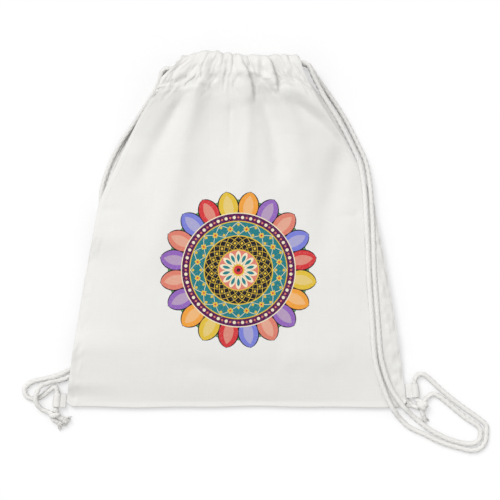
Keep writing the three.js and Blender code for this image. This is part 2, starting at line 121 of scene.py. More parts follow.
class Shade:
    """The nodes of one material, or of the world."""

    def __init__(self, owner, shader="Principled BSDF"):
        self.owner = owner
        owner.use_nodes = True
        self.tree = owner.node_tree
        self.shader = self.tree.nodes[shader]

    def node(self, kind, settings=None, values=None):
        """Add a node, set it up, feed its sockets, and give its outputs as values."""
        new = self.tree.nodes.new(kind)
        for key, setting in (settings or {}).items():
            if key == "steps":
                fill_ramp(new.color_ramp, setting)
            else:
                setattr(new, key, setting)
        for key, value in (values or {}).items():
            self.feed(new.inputs[key], value)
        return [Value(self, socket) for socket in new.outputs if socket.enabled]

    def mix(self, factor, first, second):
        """A colour between two others."""
        new = self.tree.nodes.new("ShaderNodeMix")
        new.data_type = "RGBA"
        self.feed(new.inputs[0], factor)
        self.feed(new.inputs[COLOUR_A], first)
        self.feed(new.inputs[COLOUR_B], second)
        return Value(self, new.outputs[MIXED_COLOUR])

    def map(self, name):
        """Places on a map of the piece, in metres."""
        return self.node("ShaderNodeUVMap", {"uv_map": name})[0]

    def parts(self, vector):
        """The three numbers of a vector."""
        return self.node("ShaderNodeSeparateXYZ", values={0: vector})

    def noise(self, place, scale, detail=2.0):
        """Soft random patches, so many of them to a metre."""
        values = {"Vector": place, "Scale": scale, "Detail": detail}
        return self.node("ShaderNodeTexNoise", values=values)[0]

    def bump(self, height, strength, depth):
        """A relief in the surface's normal."""
        values = {"Height": height, "Strength": strength, "Distance": depth}
        return self.node("ShaderNodeBump", values=values)[0]

    def feed(self, socket, value):
        if isinstance(value, Value):
            self.tree.links.new(value.socket, socket)
        else:
            socket.default_value = value

    def finish(self, **values):
        """Feed the sockets of the shader itself."""
        for key, value in values.items():
            self.feed(self.shader.inputs[key.replace("_", " ")], value)
        return self.owner


# %% Steps of a colour ramp
def fill_ramp(ramp, steps):
    """Give a ramp one plain colour from each place on."""
    ramp.interpolation = "CONSTANT"
    while len(ramp.elements) < len(steps):
        ramp.elements.new(1)
    for element, (place, colour) in zip(ramp.elements, steps):
        element.position = place
        element.color = colour


# %% Table
FLOOR_Z = -0.2 * MM
FLOOR_SIZE = 12
FLOOR_COLOUR = (0.5, 0.5, 0.5, 1)
# Places of these outputs in a Light Path node
CAMERA_RAY, GLOSSY_RAY, TRANSMISSION_RAY = 0, 3, 6

bpy.ops.object.select_all(action="DESELECT")
bpy.ops.mesh.primitive_plane_add(size=FLOOR_SIZE, location=(0, 0, FLOOR_Z))
floor = bpy.context.object
floor.name = "table_top"
bpy.ops.object.transform_apply(location=True)

white = Shade(bpy.data.materials.new("white_table"))
rays = white.node("ShaderNodeLightPath")
seen = rays[CAMERA_RAY].math("MAXIMUM", rays[GLOSSY_RAY]).math("MAXIMUM", rays[TRANSMISSION_RAY])
glow = white.mix(seen, (0, 0, 0, 1), FLOOR_COLOUR)
floor.data.materials.append(
    white.finish(
        Base_Color=FLOOR_COLOUR,
        Roughness=1.0,
        Specular_IOR_Level=0.0,
        Emission_Color=glow,
        Emission_Strength=1.0,
    )
)

# %% Light
SKY = 0.60
SUN = 0.42
SUN_FROM = (-0.42, 0.60, 1.0)
SUN_SIZE = math.radians(34)

sky = Shade(bpy.data.worlds.new("studio"), "Background")
rays = sky.node("ShaderNodeLightPath")
seen = rays[CAMERA_RAY].math("MAXIMUM", rays[GLOSSY_RAY])
scene.world = sky.finish(Color=(1, 1, 1, 1), Strength=seen * (1.0 - SKY) + SKY)

lamp = bpy.data.objects.new("window", bpy.data.lights.new("window", "SUN"))
scene.collection.objects.link(lamp)
away = np.array(SUN_FROM) / np.linalg.norm(SUN_FROM)
lamp.data.energy = SUN * math.pi / away[2]
lamp.data.angle = SUN_SIZE
tilt = math.acos(away[2])
turn = math.atan2(away[1], away[0]) + math.pi / 2
lamp.rotation_euler = (tilt, 0, turn)
scene.view_settings.view_transform = "Standard"
print("light on the table", round(SKY + SUN, 2))

# %% [markdown]
# ## Cords
# Each cord is one length of braided cotton, 5 mm thick. It is threaded through both hems, turns
# round at the far side and comes back out, so each end of it is one strand of a strap. The whole
# cord is drawn here as one smooth curve through points, and a round braid is swept along it.
# The sweep is then cut where the imported model cuts its own cord. The stretches from the tabs up
# through the hems are attached to the bag, and the short returns at the tabs keep their place.

# %% Routes of the cords, in millimetres
CORD_RADIUS = 2.5
FRONT_Z = 24.2
BACK_Z = 6.2
ON_TABLE = 2.7


def on_table(route):
    """Points that are given without a height are those where the cord lies on the table."""
    return [point if len(point) == 3 else (*point, ON_TABLE) for point in route]


right_front = on_table([
    (62.4, 165, 24.2), (66, 165, 24.2), (71.5, 162.5, 24.2), (76.5, 152, 22.8),
    (85.5, 135, 19.5), (101, 110, 14.5), (117, 79.5, 10.2), (123, 66, 9.5), (127, 44.5, 10.3),
    (129, 15.5, 13.7), (130.5, -12.5, 14.8), (131.7, -46.5, 15.9), (134.2, -80.5, 15.8),
    (135.5, -99.5, 15.3), (137.8, -128.5, 13.4), (140.5, -140.5, 12.1), (144.2, -152.1, 10.7),
    (151.5, -170.5, 8.8), (157.3, -181, 7.4), (163, -188.3, 3.6), (172.1, -197.1),
    (188.3, -204.8), (202.7, -212), (222.5, -218.2), (234.5, -220.8), (242, -219.4),
    (247.3, -214.7), (249.5, -208.2), (249.7, -204.4),
])
right_back = on_table([
    (62.4, 165, 6.2), (66, 165, 6.2), (72, 163, 6), (79, 153, 5.4), (90.5, 137, 4.6),
    (106.5, 113, 4), (122.4, 82, 3.8), (128.6, 68, 4.4), (133, 44.5, 7.4), (135, 16, 9.6),
    (136.3, -12.5, 12.7), (137.4, -46.5, 14.2), (140, -80.5, 14.5), (141.4, -99.5, 14.1),
    (143.9, -127.5, 12.6), (146.9, -139.5, 11.5), (151.1, -152, 10.1), (156.5, -163, 8.8),
    (162.6, -171.8, 8.5), (168.2, -178.9, 7.5), (172.7, -183.2, 4.6), (179.5, -189.3),
    (191.9, -199), (209.9, -208.6), (228, -213.8), (236, -213.9), (241, -211.5), (243.4, -207.8),
    (243.7, -204.4),
])
left_front = on_table([
    (-66.7, 159, 24.2), (-70, 159, 24.2), (-73.6, 155.8, 24), (-75.4, 149.5, 22.8),
    (-79.6, 139, 20.8), (-91.5, 121, 16), (-102.5, 104.5, 11.5), (-116, 85, 7),
    (-127.3, 62, 3.4), (-134.5, 37), (-133.5, 12), (-122, -11), (-97, -33), (-56, -58),
    (-43, -75), (-56, -93), (-111, -119), (-162, -137.5), (-170.5, -142.3), (-180.5, -146.5),
    (-191.5, -149.2), (-201, -151.3), (-206.3, -153.6), (-208.8, -155.8),
])
left_back = on_table([
    (-66.7, 159, 6.2), (-70, 159, 6.2), (-73.6, 155.6, 5.8), (-75.2, 149.5, 4.8),
    (-79, 139, 3.6), (-91.2, 120.5), (-101.5, 103.5), (-111.5, 83), (-122, 60), (-129, 37),
    (-127.5, 14), (-117.5, -7), (-93.5, -27.5), (-50, -54), (-36.5, -75), (-50.5, -98),
    (-108.5, -125), (-160.5, -144), (-169.5, -148.5), (-178.5, -151.3, 3.6), (-186, -152.6, 6.6),
    (-192.5, -155, 8.8),
])
right_front_end = on_table([
    (249.2, -195.4), (242.5, -189.2), (226.2, -177.5), (212.8, -167.2), (200.2, -156.2, 2.8),
    (192.4, -148.9, 3.2), (186, -144.6, 3.8), (181, -145.4, 4.2),
])
right_back_end = on_table([
    (242.4, -197.8), (237.5, -193.8), (229.6, -188.6), (217.4, -178.8), (208.8, -171.6),
    (202.4, -166.8), (196, -164.4, 3),
])
left_front_end = on_table([
    (-211.6, -162.6), (-208.4, -167.6), (-201, -169.2), (-193.8, -166.3), (-187.5, -161, 3.2),
    (-181.5, -157.4, 4.2),
])
left_back_end = on_table([
    (-200.4, -167.5, 8.6), (-199, -174, 7), (-194.5, -179.3, 4.6),
])

# %% Folded tabs: where they are sewn on
TAB_WIDTH = 14
TAB_REACH = 9
TAB_RISE = 0.4
TAB_STUB = 2.5
TAB_ROOTS = {"right": (169.53, -161.5, 4.0), "left": (-170.456, -171.0, 4.0)}
TAB_LINES = {"right": (-0.1064, 0.99432, 0), "left": (0.08507, 0.99637, 0)}


def at_tab(side, out, up, to_mouth):
    """A point at a tab: out from the seam, up from its hinge line, and towards the mouth."""
    root = np.array(TAB_ROOTS[side], float)
    line = np.array(TAB_LINES[side], float)
    sideways = np.array((line[1], -line[0], 0)) * (1 if side == "right" else -1)
    return root + sideways * out + line * to_mouth + np.array((0, 0, up))


for side in TAB_ROOTS:
    print(side, "tab, middle of the loop", at_tab(side, TAB_REACH, TAB_RISE, 0).round(1))


# %% A smooth curve through points
def centripetal(points, per_span=24):
    """A smooth curve that passes through all the points without overshooting them."""
    points = np.array(points, float)
    ends = (2 * points[0] - points[1], 2 * points[-1] - points[-2])
    spans = np.vstack([ends[0], points, ends[1]])
    t = np.linspace(0, 1, per_span, endpoint=False)[:, None]
    parts = []
    for p0, p1, p2, p3 in zip(spans, spans[1:], spans[2:], spans[3:]):
        d0, d1, d2 = (np.linalg.norm(b - a) ** 0.5 for a, b in ((p0, p1), (p1, p2), (p2, p3)))
        start = d1 * ((p1 - p0) / d0 - (p2 - p0) / (d0 + d1) + (p2 - p1) / d1)
        end = d1 * ((p2 - p1) / d1 - (p3 - p1) / (d1 + d2) + (p3 - p2) / d2)
        a = 2 * p1 - 2 * p2 + start + end
        b = -3 * p1 + 3 * p2 - 2 * start - end
        parts.append(((a * t + b) * t + start) * t + p1)
    return np.vstack([*parts, points[-1:]])


def distances(curve):
    """Distance along a curve to each of its points."""
    return np.concatenate([[0], np.cumsum(np.linalg.norm(np.diff(curve, axis=0), axis=1))])


def picked(values, gone, places):
    """Values of a curve's points, read at some distances along it."""
    return np.stack([np.interp(places, gone, values[:, k]) for k in range(3)], axis=-1)


def evenly(curve, step):
    """The same curve with points at equal distances."""
    gone = distances(curve)
    return picked(curve, gone, np.linspace(0, gone[-1], max(3, int(round(gone[-1] / step))) + 1))


def length_of(curve):
    """Length of a curve, in the units of its points."""
    return float(np.linalg.norm(np.diff(curve, axis=0), axis=1).sum())


def unit(vectors):
    """The same directions, each one unit long."""
    return vectors / np.maximum(np.linalg.norm(vectors, axis=-1), 1e-9)[..., None]


# %% The whole route of each cord, from one knot through both hems to the other end
TURN_RADIUS = 9
TURN_STEPS = 12
LANE_POINTS = 9
LANE_EASE = 2.4
PAST_CUT = 2.7
TAB_GAP = 0.3
RING_STEP = 0.7


def lane(lane_y, exit_x, turn_x):
    """Inside the hems: along the front, round the turn at the far side, back along the rear."""
    way = 1 if exit_x > 0 else -1
    middle = (FRONT_Z + BACK_Z) / 2
    straight = np.linspace(exit_x, turn_x + way * LANE_EASE, LANE_POINTS)
    turn = []
    for angle in np.linspace(0, math.pi, TURN_STEPS + 1):
        out = TURN_RADIUS * math.sin(angle)
        turn.append((turn_x - way * out, lane_y, middle + TURN_RADIUS * math.cos(angle)))
    there = [(x, lane_y, FRONT_Z) for x in straight]
    back = [(x, lane_y, BACK_Z) for x in straight[::-1]]
    return there + turn + back


def go_on(strand):
    """A point just past the end of a strand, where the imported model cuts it."""
    last, before = np.array(strand[-1]), np.array(strand[-2])
    return last + unit(last - before) * PAST_CUT


def cut_at(curve, point):
    """Index of the point of a curve that lies nearest a place."""
    return int(np.argmin(np.linalg.norm(curve - np.array(point), axis=1)))


# %% Join the parts of each route in one curve, and mark where it is cut
KNOT_ENTRIES = {"right": (188.6, -169.6, 4.2), "left": (-188.3, -182.3, 4.0)}
# Each cord: its two strands, their far ends, and its lane: height, way out and turn
STRANDS = {
    "right": (right_front, right_back, right_front_end, right_back_end, lane(165, 62.1, -49.4)),
    "left": (left_front, left_back, left_front_end, left_back_end, lane(159, -66.4, 53.5)),
}
curves = {}
for side, (front_strand, back_strand, front_end, back_end, in_hems) in STRANDS.items():
    into_tab = at_tab(side, TAB_REACH, TAB_RISE, TAB_WIDTH / 2 + TAB_STUB + TAB_GAP)
    route = [into_tab, *reversed(front_end), go_on(front_strand), *reversed(front_strand),
             *in_hems, *back_strand, go_on(back_strand), *back_end, KNOT_ENTRIES[side]]
    curve = evenly(centripetal(route), RING_STEP)
    half = len(curve) // 2
    marks = {
        "front_return": 0,
        "front_strand": cut_at(curve[:half], front_strand[-1]),
        "in_channels": cut_at(curve[:half], front_strand[0]),
        "back_strand": half + cut_at(curve[half:], back_strand[0]),
        "back_return": half + cut_at(curve[half:], back_strand[-1]),
        "end": len(curve) - 1,
    }
    curves[side] = (curve, marks)
    print(side, "cord", round(length_of(curve)), "mm between its knots")


# %% Sweep a braid along a curve
CORD_SIDES = 24
BRAID_CROSSINGS = 5
BRAID_PITCH = 6.4
BRAID_DEPTH = 0.3
BRAID_RISE = 1.5 * BRAID_DEPTH


def frames_along(curve):
    """Two directions square to the curve at each of its points, turned as little as possible."""
    ways = unit(np.gradient(curve, axis=0))
    sides = [unit(np.cross(ways[0], (0.0, 0.0, 1.0)))]
    for way in ways[1:]:
        sides.append(unit(sides[-1] - way * sides[-1].dot(way)))
    sides = np.array(sides)
    return sides, np.cross(ways, sides)


def swept_rings(curve):
    """Rings of points round a curve. The braid raises each place where one yarn lies on top."""
    sides, ups = frames_along(curve)
    angles = np.linspace(0, 2 * math.pi, CORD_SIDES, endpoint=False)
    along = np.arange(len(curve)) * length_of(curve) / (len(curve) - 1)
    turns = BRAID_CROSSINGS * angles / (2 * math.pi)
    steps = along[:, None] / BRAID_PITCH
    height = np.abs(np.sin(math.pi * (turns + steps)) * np.sin(math.pi * (turns - steps)))
    out = CORD_RADIUS - BRAID_DEPTH + BRAID_RISE * height
    ring = np.cos(angles)[None, :, None] * sides[:, None, :]
    ring = ring + np.sin(angles)[None, :, None] * ups[:, None, :]
    return curve[:, None, :] + ring * out[:, :, None], along


def tube_mesh(name, rings, along, radius=CORD_RADIUS):
    """A closed tube from rings of points, with a map in metres round and along it."""
    count, sides = rings.shape[:2]
    ends = [rings[0].mean(axis=0), rings[-1].mean(axis=0)]
    points = np.vstack([rings.reshape(-1, 3), ends]) * MM
    row = np.arange(count - 1)[:, None] * sides
    column = np.arange(sides)[None, :]
    follow = (column + 1) % sides
    above = row + sides
    quads = np.stack([row + column, row + follow, above + follow, above + column], axis=-1)
    faces = quads.reshape(-1, 4).tolist()
    last = (count - 1) * sides
    middle = count * sides
    for k in range(sides):
        faces.append([middle, (k + 1) % sides, k])
        faces.append([middle + 1, last + k, last + (k + 1) % sides])
    mesh = bpy.data.meshes.new(name)
    mesh.from_pydata(points.tolist(), [], faces)
    edge = 2 * math.pi * radius / sides * MM
    u = np.stack([column, column + 1, column + 1, column], axis=-1) * edge
    v = np.stack([along[:-1], along[:-1], along[1:], along[1:]], axis=-1)[:, None, :] * MM
    uv = np.stack(np.broadcast_arrays(u, v), axis=-1).reshape(-1, 2)
    caps = np.zeros((sides * 6, 2))
    mesh.uv_layers.new(name="UVMap").data.foreach_set("uv", np.vstack([uv, caps]).ravel())
    mesh.polygons.foreach_set("use_smooth", np.arange(len(faces)) < len(faces) - 2 * sides)
    return mesh


def add_piece(name, mesh, material):
    """Put a mesh in the scene, with its finish."""
    piece = bpy.data.objects.new(name, mesh)
    scene.collection.objects.link(piece)
    mesh.materials.append(material)
    return piece


# %% [markdown]
# ## Cotton cord
# The cord is a round braid of soft white cotton. Its crossings are modelled, and its finer yarn
# is a slanting ripple that follows the map on the tube.

# %% Finish of the cords
CORD_COLOUR = (0.94, 0.93, 0.905, 1)
CORD_SHADE = (0.86, 0.85, 0.82, 1)
YARN_PITCH = 0.5 * MM
YARN_SLANT = 0.8
FLUFF_SCALE = 900.0
MOTTLE_SCALE = 160.0


def cord_finish():
    """Soft spun cotton, with fine slanting yarns."""
    shade = Shade(bpy.data.materials.new("cotton_cord"))
    uv = shade.map("UVMap")
    u, v, _ = shade.parts(uv)
    yarn = ((u + v * YARN_SLANT) * (2 * math.pi / YARN_PITCH)).math("SINE")
    tint = shade.mix(shade.noise(uv, MOTTLE_SCALE) * 0.7, CORD_COLOUR, CORD_SHADE)
    bump = shade.bump(yarn * 0.3 + shade.noise(uv, FLUFF_SCALE), 0.5, 0.4 * MM)
    return shade.finish(Base_Color=tint, Roughness=0.9, Normal=bump, Specular_IOR_Level=0.25)


cord_material = cord_finish()

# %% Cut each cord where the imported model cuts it
cord_pieces = {}
for side, (curve, marks) in curves.items():
    rings, along = swept_rings(curve)
    for (stretch, begin), stop in zip(marks.items(), list(marks.values())[1:]):
        node = f"{side}_cord_{stretch}"
        span = slice(begin, stop + 1)
        mesh = tube_mesh(node + "_braid", rings[span], along[span])
        piece = add_piece(node + "_braid", mesh, cord_material)
        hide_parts(node)
        cord_pieces[side, stretch] = (piece, curve[span])
        print(node, round(length_of(curve[span])), "mm")

# %% Attach the stretches of cord to the bag; the returns at the tabs keep their place
BEND_LINES = {
    ("right", "front_return"): ((0.206, -0.158, 0.003), (0.186, -0.146, 0.004)),
    ("right", "back_return"): ((0.215, -0.172, 0.003), (0.193, -0.165, 0.004)),
    ("left", "front_return"): ((-0.206, -0.168, 0.003), (-0.186, -0.160, 0.004)),
    ("left", "back_return"): ((-0.1985, -0.165, 0.009), (-0.1905, -0.180, 0.005)),
}
for (side, stretch), (piece, lay) in cord_pieces.items():
    if stretch == "in_channels":
        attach(piece, "bag")
        continue
    way = lay[::-1] if stretch.startswith("front") else lay
    if (side, stretch) in BEND_LINES:
        start, stop = BEND_LINES[side, stretch]
        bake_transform(piece)
    else:
        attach(piece, "bag")

# %% [markdown]
# ## Canvas front and back
# The sack is two flat rectangles of canvas sewn together at the bottom and up the sides as far
# as the slits. Above the slits each rectangle is folded over at the top and stitched down into
# a channel for the cords. Pulled up by the cords, the cloth gathers: it is narrow at the mouth,
# and soft folds fan out from there down the bag.
#
# Each rectangle is made here as a grid that starts at the bottom seam, runs up the bag, over the
# top of the channel and down its inner side. The folds are strokes drawn on that grid, each with
# its own width, height and kind, and fine random crumples lie over them.

# %% Outline of the bag, in millimetres
BAG_WIDTH = 339
BOTTOM_Y = -177.5
BODY_Y = -174.5
SLIT_Y = 24
SLIT_WIDTH = 274
SIDE_BOW = 1.25
NECK_BOW = 1.1
STITCH_Y = 151
MOUTH_WIDTH = 140
CHANNEL_DRAW = 0.72
CHANNEL_Y = 162
CHANNEL_HALF = 11
CHANNEL_DEPTH = 4.5
CANVAS = 0.9
SEAM_Z = 4.0


def share(value, low, high):
    """How far a value has come from one limit to the other: 0 before, 1 beyond."""
    return np.clip((value - low) / (high - low), 0, 1)


def ease(value, low, high):
    """The same share, with a soft start and a soft end."""
    t = share(value, low, high)
    return t * t * (3 - 2 * t)


def mix(a, b, t):
    """A value between two others."""
    return a + (b - a) * t


def half_width(y):
    """Half the width of the bag at a height: bowed sides, and the drawn-in channel."""
    y = np.asarray(y, float)
    foot, waist, neck = BAG_WIDTH / 2, SLIT_WIDTH / 2, MOUTH_WIDTH / 2
    lower = mix(foot, waist, share(y, BOTTOM_Y, SLIT_Y) ** SIDE_BOW)
    upper = mix(waist, neck, share(y, SLIT_Y, STITCH_Y) ** NECK_BOW)
    drawn = neck - CHANNEL_DRAW * (y - STITCH_Y)
    return np.where(y > STITCH_Y, drawn, np.where(y > SLIT_Y, upper, lower))


# %% Random crumples that come out the same on every run
dice = np.random.default_rng(7)


def crumple(x, y, size_x, size_y, count=64):
    """Smooth random heights from -1 to 1, with lumps of the given sizes in millimetres."""
    lattice = dice.uniform(-1, 1, (count, count))
    u, v = x / size_x, y / size_y
    i, j = np.floor(u).astype(int), np.floor(v).astype(int)
    fu, fv = ease(u - i, 0, 1), ease(v - j, 0, 1)
    a, b = lattice[i % count, j % count], lattice[(i + 1) % count, j % count]
    c, d = lattice[i % count, (j + 1) % count], lattice[(i + 1) % count, (j + 1) % count]
    return mix(mix(a, b, fu), mix(c, d, fu), fv)


# %% The place where the slack of the left cord lies under the bag
HIDDEN_LAY = [(-128, 58), (-132, 32), (-126, 4), (-95, -30), (-52, -56), (-36, -76), (-52, -98),
              (-110, -124), (-178, -146)]
HUMP_RISE = 7.2
HUMP_FLANK = (18, 44)
HUMP_START = (-168, -153)


def distance_to(x, y, line):
    """Distance to a bent line, how far along it the nearest place is, and on which side."""
    best = np.full(np.shape(x), np.inf)
    where = np.zeros(np.shape(x))
    sides = np.zeros(np.shape(x))
    lengths = [math.dist(a, b) for a, b in zip(line, line[1:])]
    done = 0
    for (x0, y0), (x1, y1), length in zip(line, line[1:], lengths):
        dx, dy = (x1 - x0) / length, (y1 - y0) / length
        t = np.clip((x - x0) * dx + (y - y0) * dy, 0, length)
        gap = np.hypot(x - x0 - t * dx, y - y0 - t * dy)
        near = gap < best
        best = np.where(near, gap, best)
        where = np.where(near, (done + t) / sum(lengths), where)
        sides = np.where(near, np.sign((x - x0) * dy - (y - y0) * dx), sides)
        done += length
    return best, where, sides


def hump(x, y):
    """How far the hidden cords lift the back."""
    far = distance_to(x, y, HIDDEN_LAY)[0]
    return HUMP_RISE * (1 - ease(far, *HUMP_FLANK)) * ease(y, *HUMP_START)


# %% Folds of the front: points, widths at both ends, heights at both ends
FOLDS = {
    # long soft folds that fan out from the mouth, the last three beside creases of the channel
    "soft": [
        ([(-47, 150), (-50, 143), (-57, 129), (-64.5, 114), (-75.5, 94), (-88, 69), (-104, 30)],
         (5.5, 12), (-4.6, -1.6)),
        ([(-37, 162), (-38, 144), (-41, 129), (-45, 114), (-51, 94), (-56, 69), (-62, 40),
         (-80, -15), (-100, -70)], (6.5, 20), (4.4, 2.2)),
        ([(-20, 152), (-24, 70), (-28, 10)], (10, 16), (-1.6, -0.5)),
        ([(5, 168), (8, 142), (11, 124), (12, 104), (9, 60), (6, 20)], (5, 9), (3.6, 1.0)),
        ([(22, 146), (25, 137), (28.5, 127), (33, 112), (36, 98), (39, 82), (42, 60), (44, 40)],
         (6.5, 10), (-5.8, -2.6)),
        ([(30, 158), (40, 144), (47, 130), (58, 100), (68, 45)], (5, 14), (4.0, 1.6)),
        ([(42, 141), (47, 136), (58, 131), (66, 125), (78, 117), (108, 86), (124, 64)], (7, 8),
         (-4.6, -2.6)),
        ([(57, 152), (66, 144), (80, 133), (92, 120), (106, 100)], (8, 7), (3.0, 2.0)),
        ([(101, 96), (98, 60), (88, 0), (80, -40)], (10, 18), (-5.0, -1.0)),
        ([(-120, 10), (-104, -50), (-92, -96)], (16, 22), (1.6, 0.4)),
        ([(40, -120), (84, -128), (120, -118)], (14, 14), (1.6, 0.6)),
        ([(-60, -132), (-10, -142), (50, -146)], (10, 10), (-1.4, -0.6)),
        ([(-27, 172), (-28, 160), (-33, 146)], (2.8, 4.0), (2.4, 1.2)),
        ([(19, 170), (21, 158), (27, 144)], (2.8, 4.0), (2.6, 1.4)),
        ([(45, 172), (49, 162), (53, 152)], (3.0, 4.0), (2.2, 1.0)),
    ],
    # sharp creases of the channel and below it, and two faint ones at the ends of the slits
    "sharp": [
        ([(-6.5, 130), (-6.5, 104), (-8, 70)], (3, 6), (-2.0, -0.5)),
        ([(-31, 170), (-31.5, 162), (-33, 152)], (1.8, 2.4), (-3.0, -1.2)),
        ([(-38, 172), (-39, 168), (-41, 162)], (3.2, 3.0), (-2.4, -0.8)),
        ([(-13, 178), (-10, 171), (-8, 164)], (1.8, 2.0), (-3.0, -0.8)),
        ([(12, 176), (14, 168), (17, 160)], (2.0, 2.0), (-2.4, -1.0)),
        ([(24, 176), (26, 168), (29, 158)], (1.8, 2.4), (-2.8, -1.2)),
        ([(50, 175), (52, 168), (55, 156)], (2.0, 2.6), (-2.4, -1.0)),
        ([(-24, 177), (-21, 168), (-20, 158)], (2.0, 2.8), (-1.6, -0.4)),
        ([(-45, 166), (-46, 157), (-48.5, 147)], (1.8, 2.6), (-2.8, -1.2)),
        ([(0, 176), (-1, 168), (-2, 158)], (1.6, 2.0), (-1.8, -0.6)),
        ([(-137, 25), (-124, 23.5), (-108, 24)], (2.4, 3.4), (-1.6, -0.3)),
        ([(124, 18), (112, 16.5), (98, 17)], (2.4, 3.4), (-1.5, -0.3)),
    ],
    # cloth that hangs over a crease, from its left
    "over": [
        ([(6.5, 170), (9, 162), (13, 148), (15, 138), (19, 126)], (5, 8), (6.4, 3.0)),
        ([(26, 184), (32, 168.5), (34, 163), (36, 156.7), (38, 150), (41, 142)], (5, 6),
         (8.0, 5.0)),
        ([(-33, 176), (-34, 160), (-38, 146)], (3, 5), (-2.2, -1.2)),
    ],
}

# %% Shape of a fold
# Shares of a fold's length over which it rises and dies out
FADE_IN, FADE_OUT, DRAPE_OUT = 0.2, 0.25, 0.5
LIP = 0.8
# How far hanging cloth slides for each millimetre of its height, and within what distance
DRAPE = 0.42
DRAPE_REACH = 6


def fold_section(kind, far, width, side):
    """Cross-section of a fold of a kind, at a distance from its line."""
    if kind == "soft":
        return np.exp(-((far / width) ** 2))
    slope = np.exp(-far / width)
    return slope if kind == "sharp" else slope * side * (1 - np.exp(-far / LIP))


def folds_of_front(x, v):
    """All the folds at once, before fine crumples, and how far cloth slides over the creases."""
    total = np.zeros(np.shape(x))
    slid = np.zeros(np.shape(x))
    for kind, folds in FOLDS.items():
        for line, widths, heights in folds:
            far, along, side = distance_to(x, v, line)
            height = mix(*heights, along) * ease(1 - along, 0, FADE_OUT)
            if line[0][1] < STITCH_Y or kind == "over":
                height = height * ease(along, 0, FADE_IN)
            total += height * fold_section(kind, far, mix(*widths, along), side)
            if kind == "over":
                slide = DRAPE * heights[0] * ease(along, 0, FADE_IN)
                slide = slide * ease(1 - along, 0, DRAPE_OUT)
                on_top = side * heights[0] > 0
                slid += slide * on_top * ease(DRAPE_REACH - far, 0, DRAPE_REACH)
    return total, slid


# %% Grooves that the strands press into the cloth
GROOVE_TOP = 24
GROOVE_REACH = 9
GROOVE_SLOPE = 2.2
GROOVE_GAP = 0.2
GROOVE_STEP = 3.0


def pressed(x, y, z, routes):
    """Lower a surface where a cord lies on it, with a soft shoulder beside the cord."""
    for route in routes:
        line = evenly(centripetal(route, 8), GROOVE_STEP)
        for px, py, pz in line[line[:, 2] < GROOVE_TOP]:
            far = np.hypot(x - px, y - py)
            inside = np.minimum(far, CORD_RADIUS)
            under = pz - np.sqrt(CORD_RADIUS**2 - inside**2) - GROOVE_GAP
            limit = under + np.maximum(far - CORD_RADIUS, 0) * GROOVE_SLOPE
            z = np.where(far < GROOVE_REACH, np.minimum(z, limit), z)
    return z


# %% Seams, which stand a little off the table between the corners and the slits
LEFT_LIFT, RIGHT_LIFT = 5.0, 4.0
LIFT_FROM, LIFT_FULL = -150, -105
LIFT_FADES, LIFT_OVER = -10, 34
LEAN_FROM = 0.2
# How far each side stands out beyond a symmetric bag's, at a few heights
LEAN_RIGHT = ([10, 60, 80, 112, 136, 157, 165, 173, 180],
              [0, 3.0, 2.8, 4.6, 4.4, 5.2, 7.0, 8.5, 7])
LEAN_LEFT = ([10, 34, 49, 61, 85, 110, 124, 139, 151, 157, 163, 173, 180],
             [0, 1, 1.2, 1, 2.8, 3.4, 3.2, 4.0, 6.8, 8.8, 7.6, 1, -3])


def seam_lift(side, y):
    """How far the side seam is lifted; the left one a little more than the right."""
    stretch = ease(y, LIFT_FROM, LIFT_FULL) * (1 - ease(y, LIFT_FADES, LIFT_OVER))
    return np.where(side < 0, LEFT_LIFT, RIGHT_LIFT) * stretch


def leaning(s, y):
    """How far a point moves sideways so that the outline follows the real, uneven one."""
    right = np.interp(y, *LEAN_RIGHT) * ease(s, LEAN_FROM, 1)
    left = np.interp(y, *LEAN_LEFT) * ease(-s, LEAN_FROM, 1)
    return right - left


# %% Surface of the front
CROWN = 20
MOUTH_RISE = 3.2
ROUNDNESS = 0.55
SEAM_INSET = 1.2
MOUTH_REACH = 45


def front_surface(x, y):
    """Middle of the cloth of the front over a place, without folds."""
    width = half_width(y)
    s = np.clip(x / (width - SEAM_INSET), -1, 1)
    mouth = FRONT_Z + CANVAS / 2 + MOUTH_RISE * ease(y, STITCH_Y - MOUTH_REACH, STITCH_Y)
    lift = s * s * hump(np.sign(s) * width, y) + seam_lift(s, y)
    edge = mix(SEAM_Z + CANVAS + lift, mouth, ease(y, SLIT_Y, STITCH_Y))
    rise = 1 - (1 - share(y, BODY_Y, 0)) ** 3
    middle = mix(SEAM_Z + rise * CROWN, mouth, ease(y, 0, STITCH_Y))
    return edge + np.maximum(0, middle - edge) * (1 - s * s) ** ROUNDNESS - CANVAS / 2


# %% Bottom edge
CORNER_START = 0.955
CORNER_RISE = 5.5
CORNER_REACH = 16


def round_corner(s, y):
    """Lift the bottom edge a little towards its two corners, and let it wander."""
    corner = share(np.abs(s), CORNER_START, 1)
    wander = 0.6 * np.sin(5 * s + 1) + 0.35 * np.sin(13 * s)
    fade = (1 - share(y, BOTTOM_Y, BOTTOM_Y + CORNER_REACH)) ** 2
    return (CORNER_RISE * corner**2.4 + wander) * fade


# %% Columns and rows of a panel below its channel
FINE_FOOT = 12
FINE_MOUTH_Y = 90


def columns(count, crowding):
    """Places across the bag from -1 to 1, closer together towards the sides."""
    places = np.sin(np.linspace(-1, 1, count) * math.pi / 2 * crowding)
    return places / places[-1]


def panel_rows(fine, coarse):
    """Heights of the rows below the channel, closer together near the mouth and the bottom."""
    low = np.linspace(BOTTOM_Y, BOTTOM_Y + FINE_FOOT, 9)[:-1]
    middle = np.linspace(BOTTOM_Y + FINE_FOOT, FINE_MOUTH_Y, coarse)[:-1]
    return np.concatenate([low, middle, np.linspace(FINE_MOUTH_Y, STITCH_Y, fine)])


# %% Grid of a panel: up the bag, over the channel, down its inner side
CHANNEL_TURN = (-50, 246)
INNER_TURN = (95, 125)
INNER_WIDTH = 0.86


def rounded(value, power=0.75):
    """A sine or cosine changed so that it draws a squarer round than a circle."""
    return np.sign(value) * np.abs(value) ** power


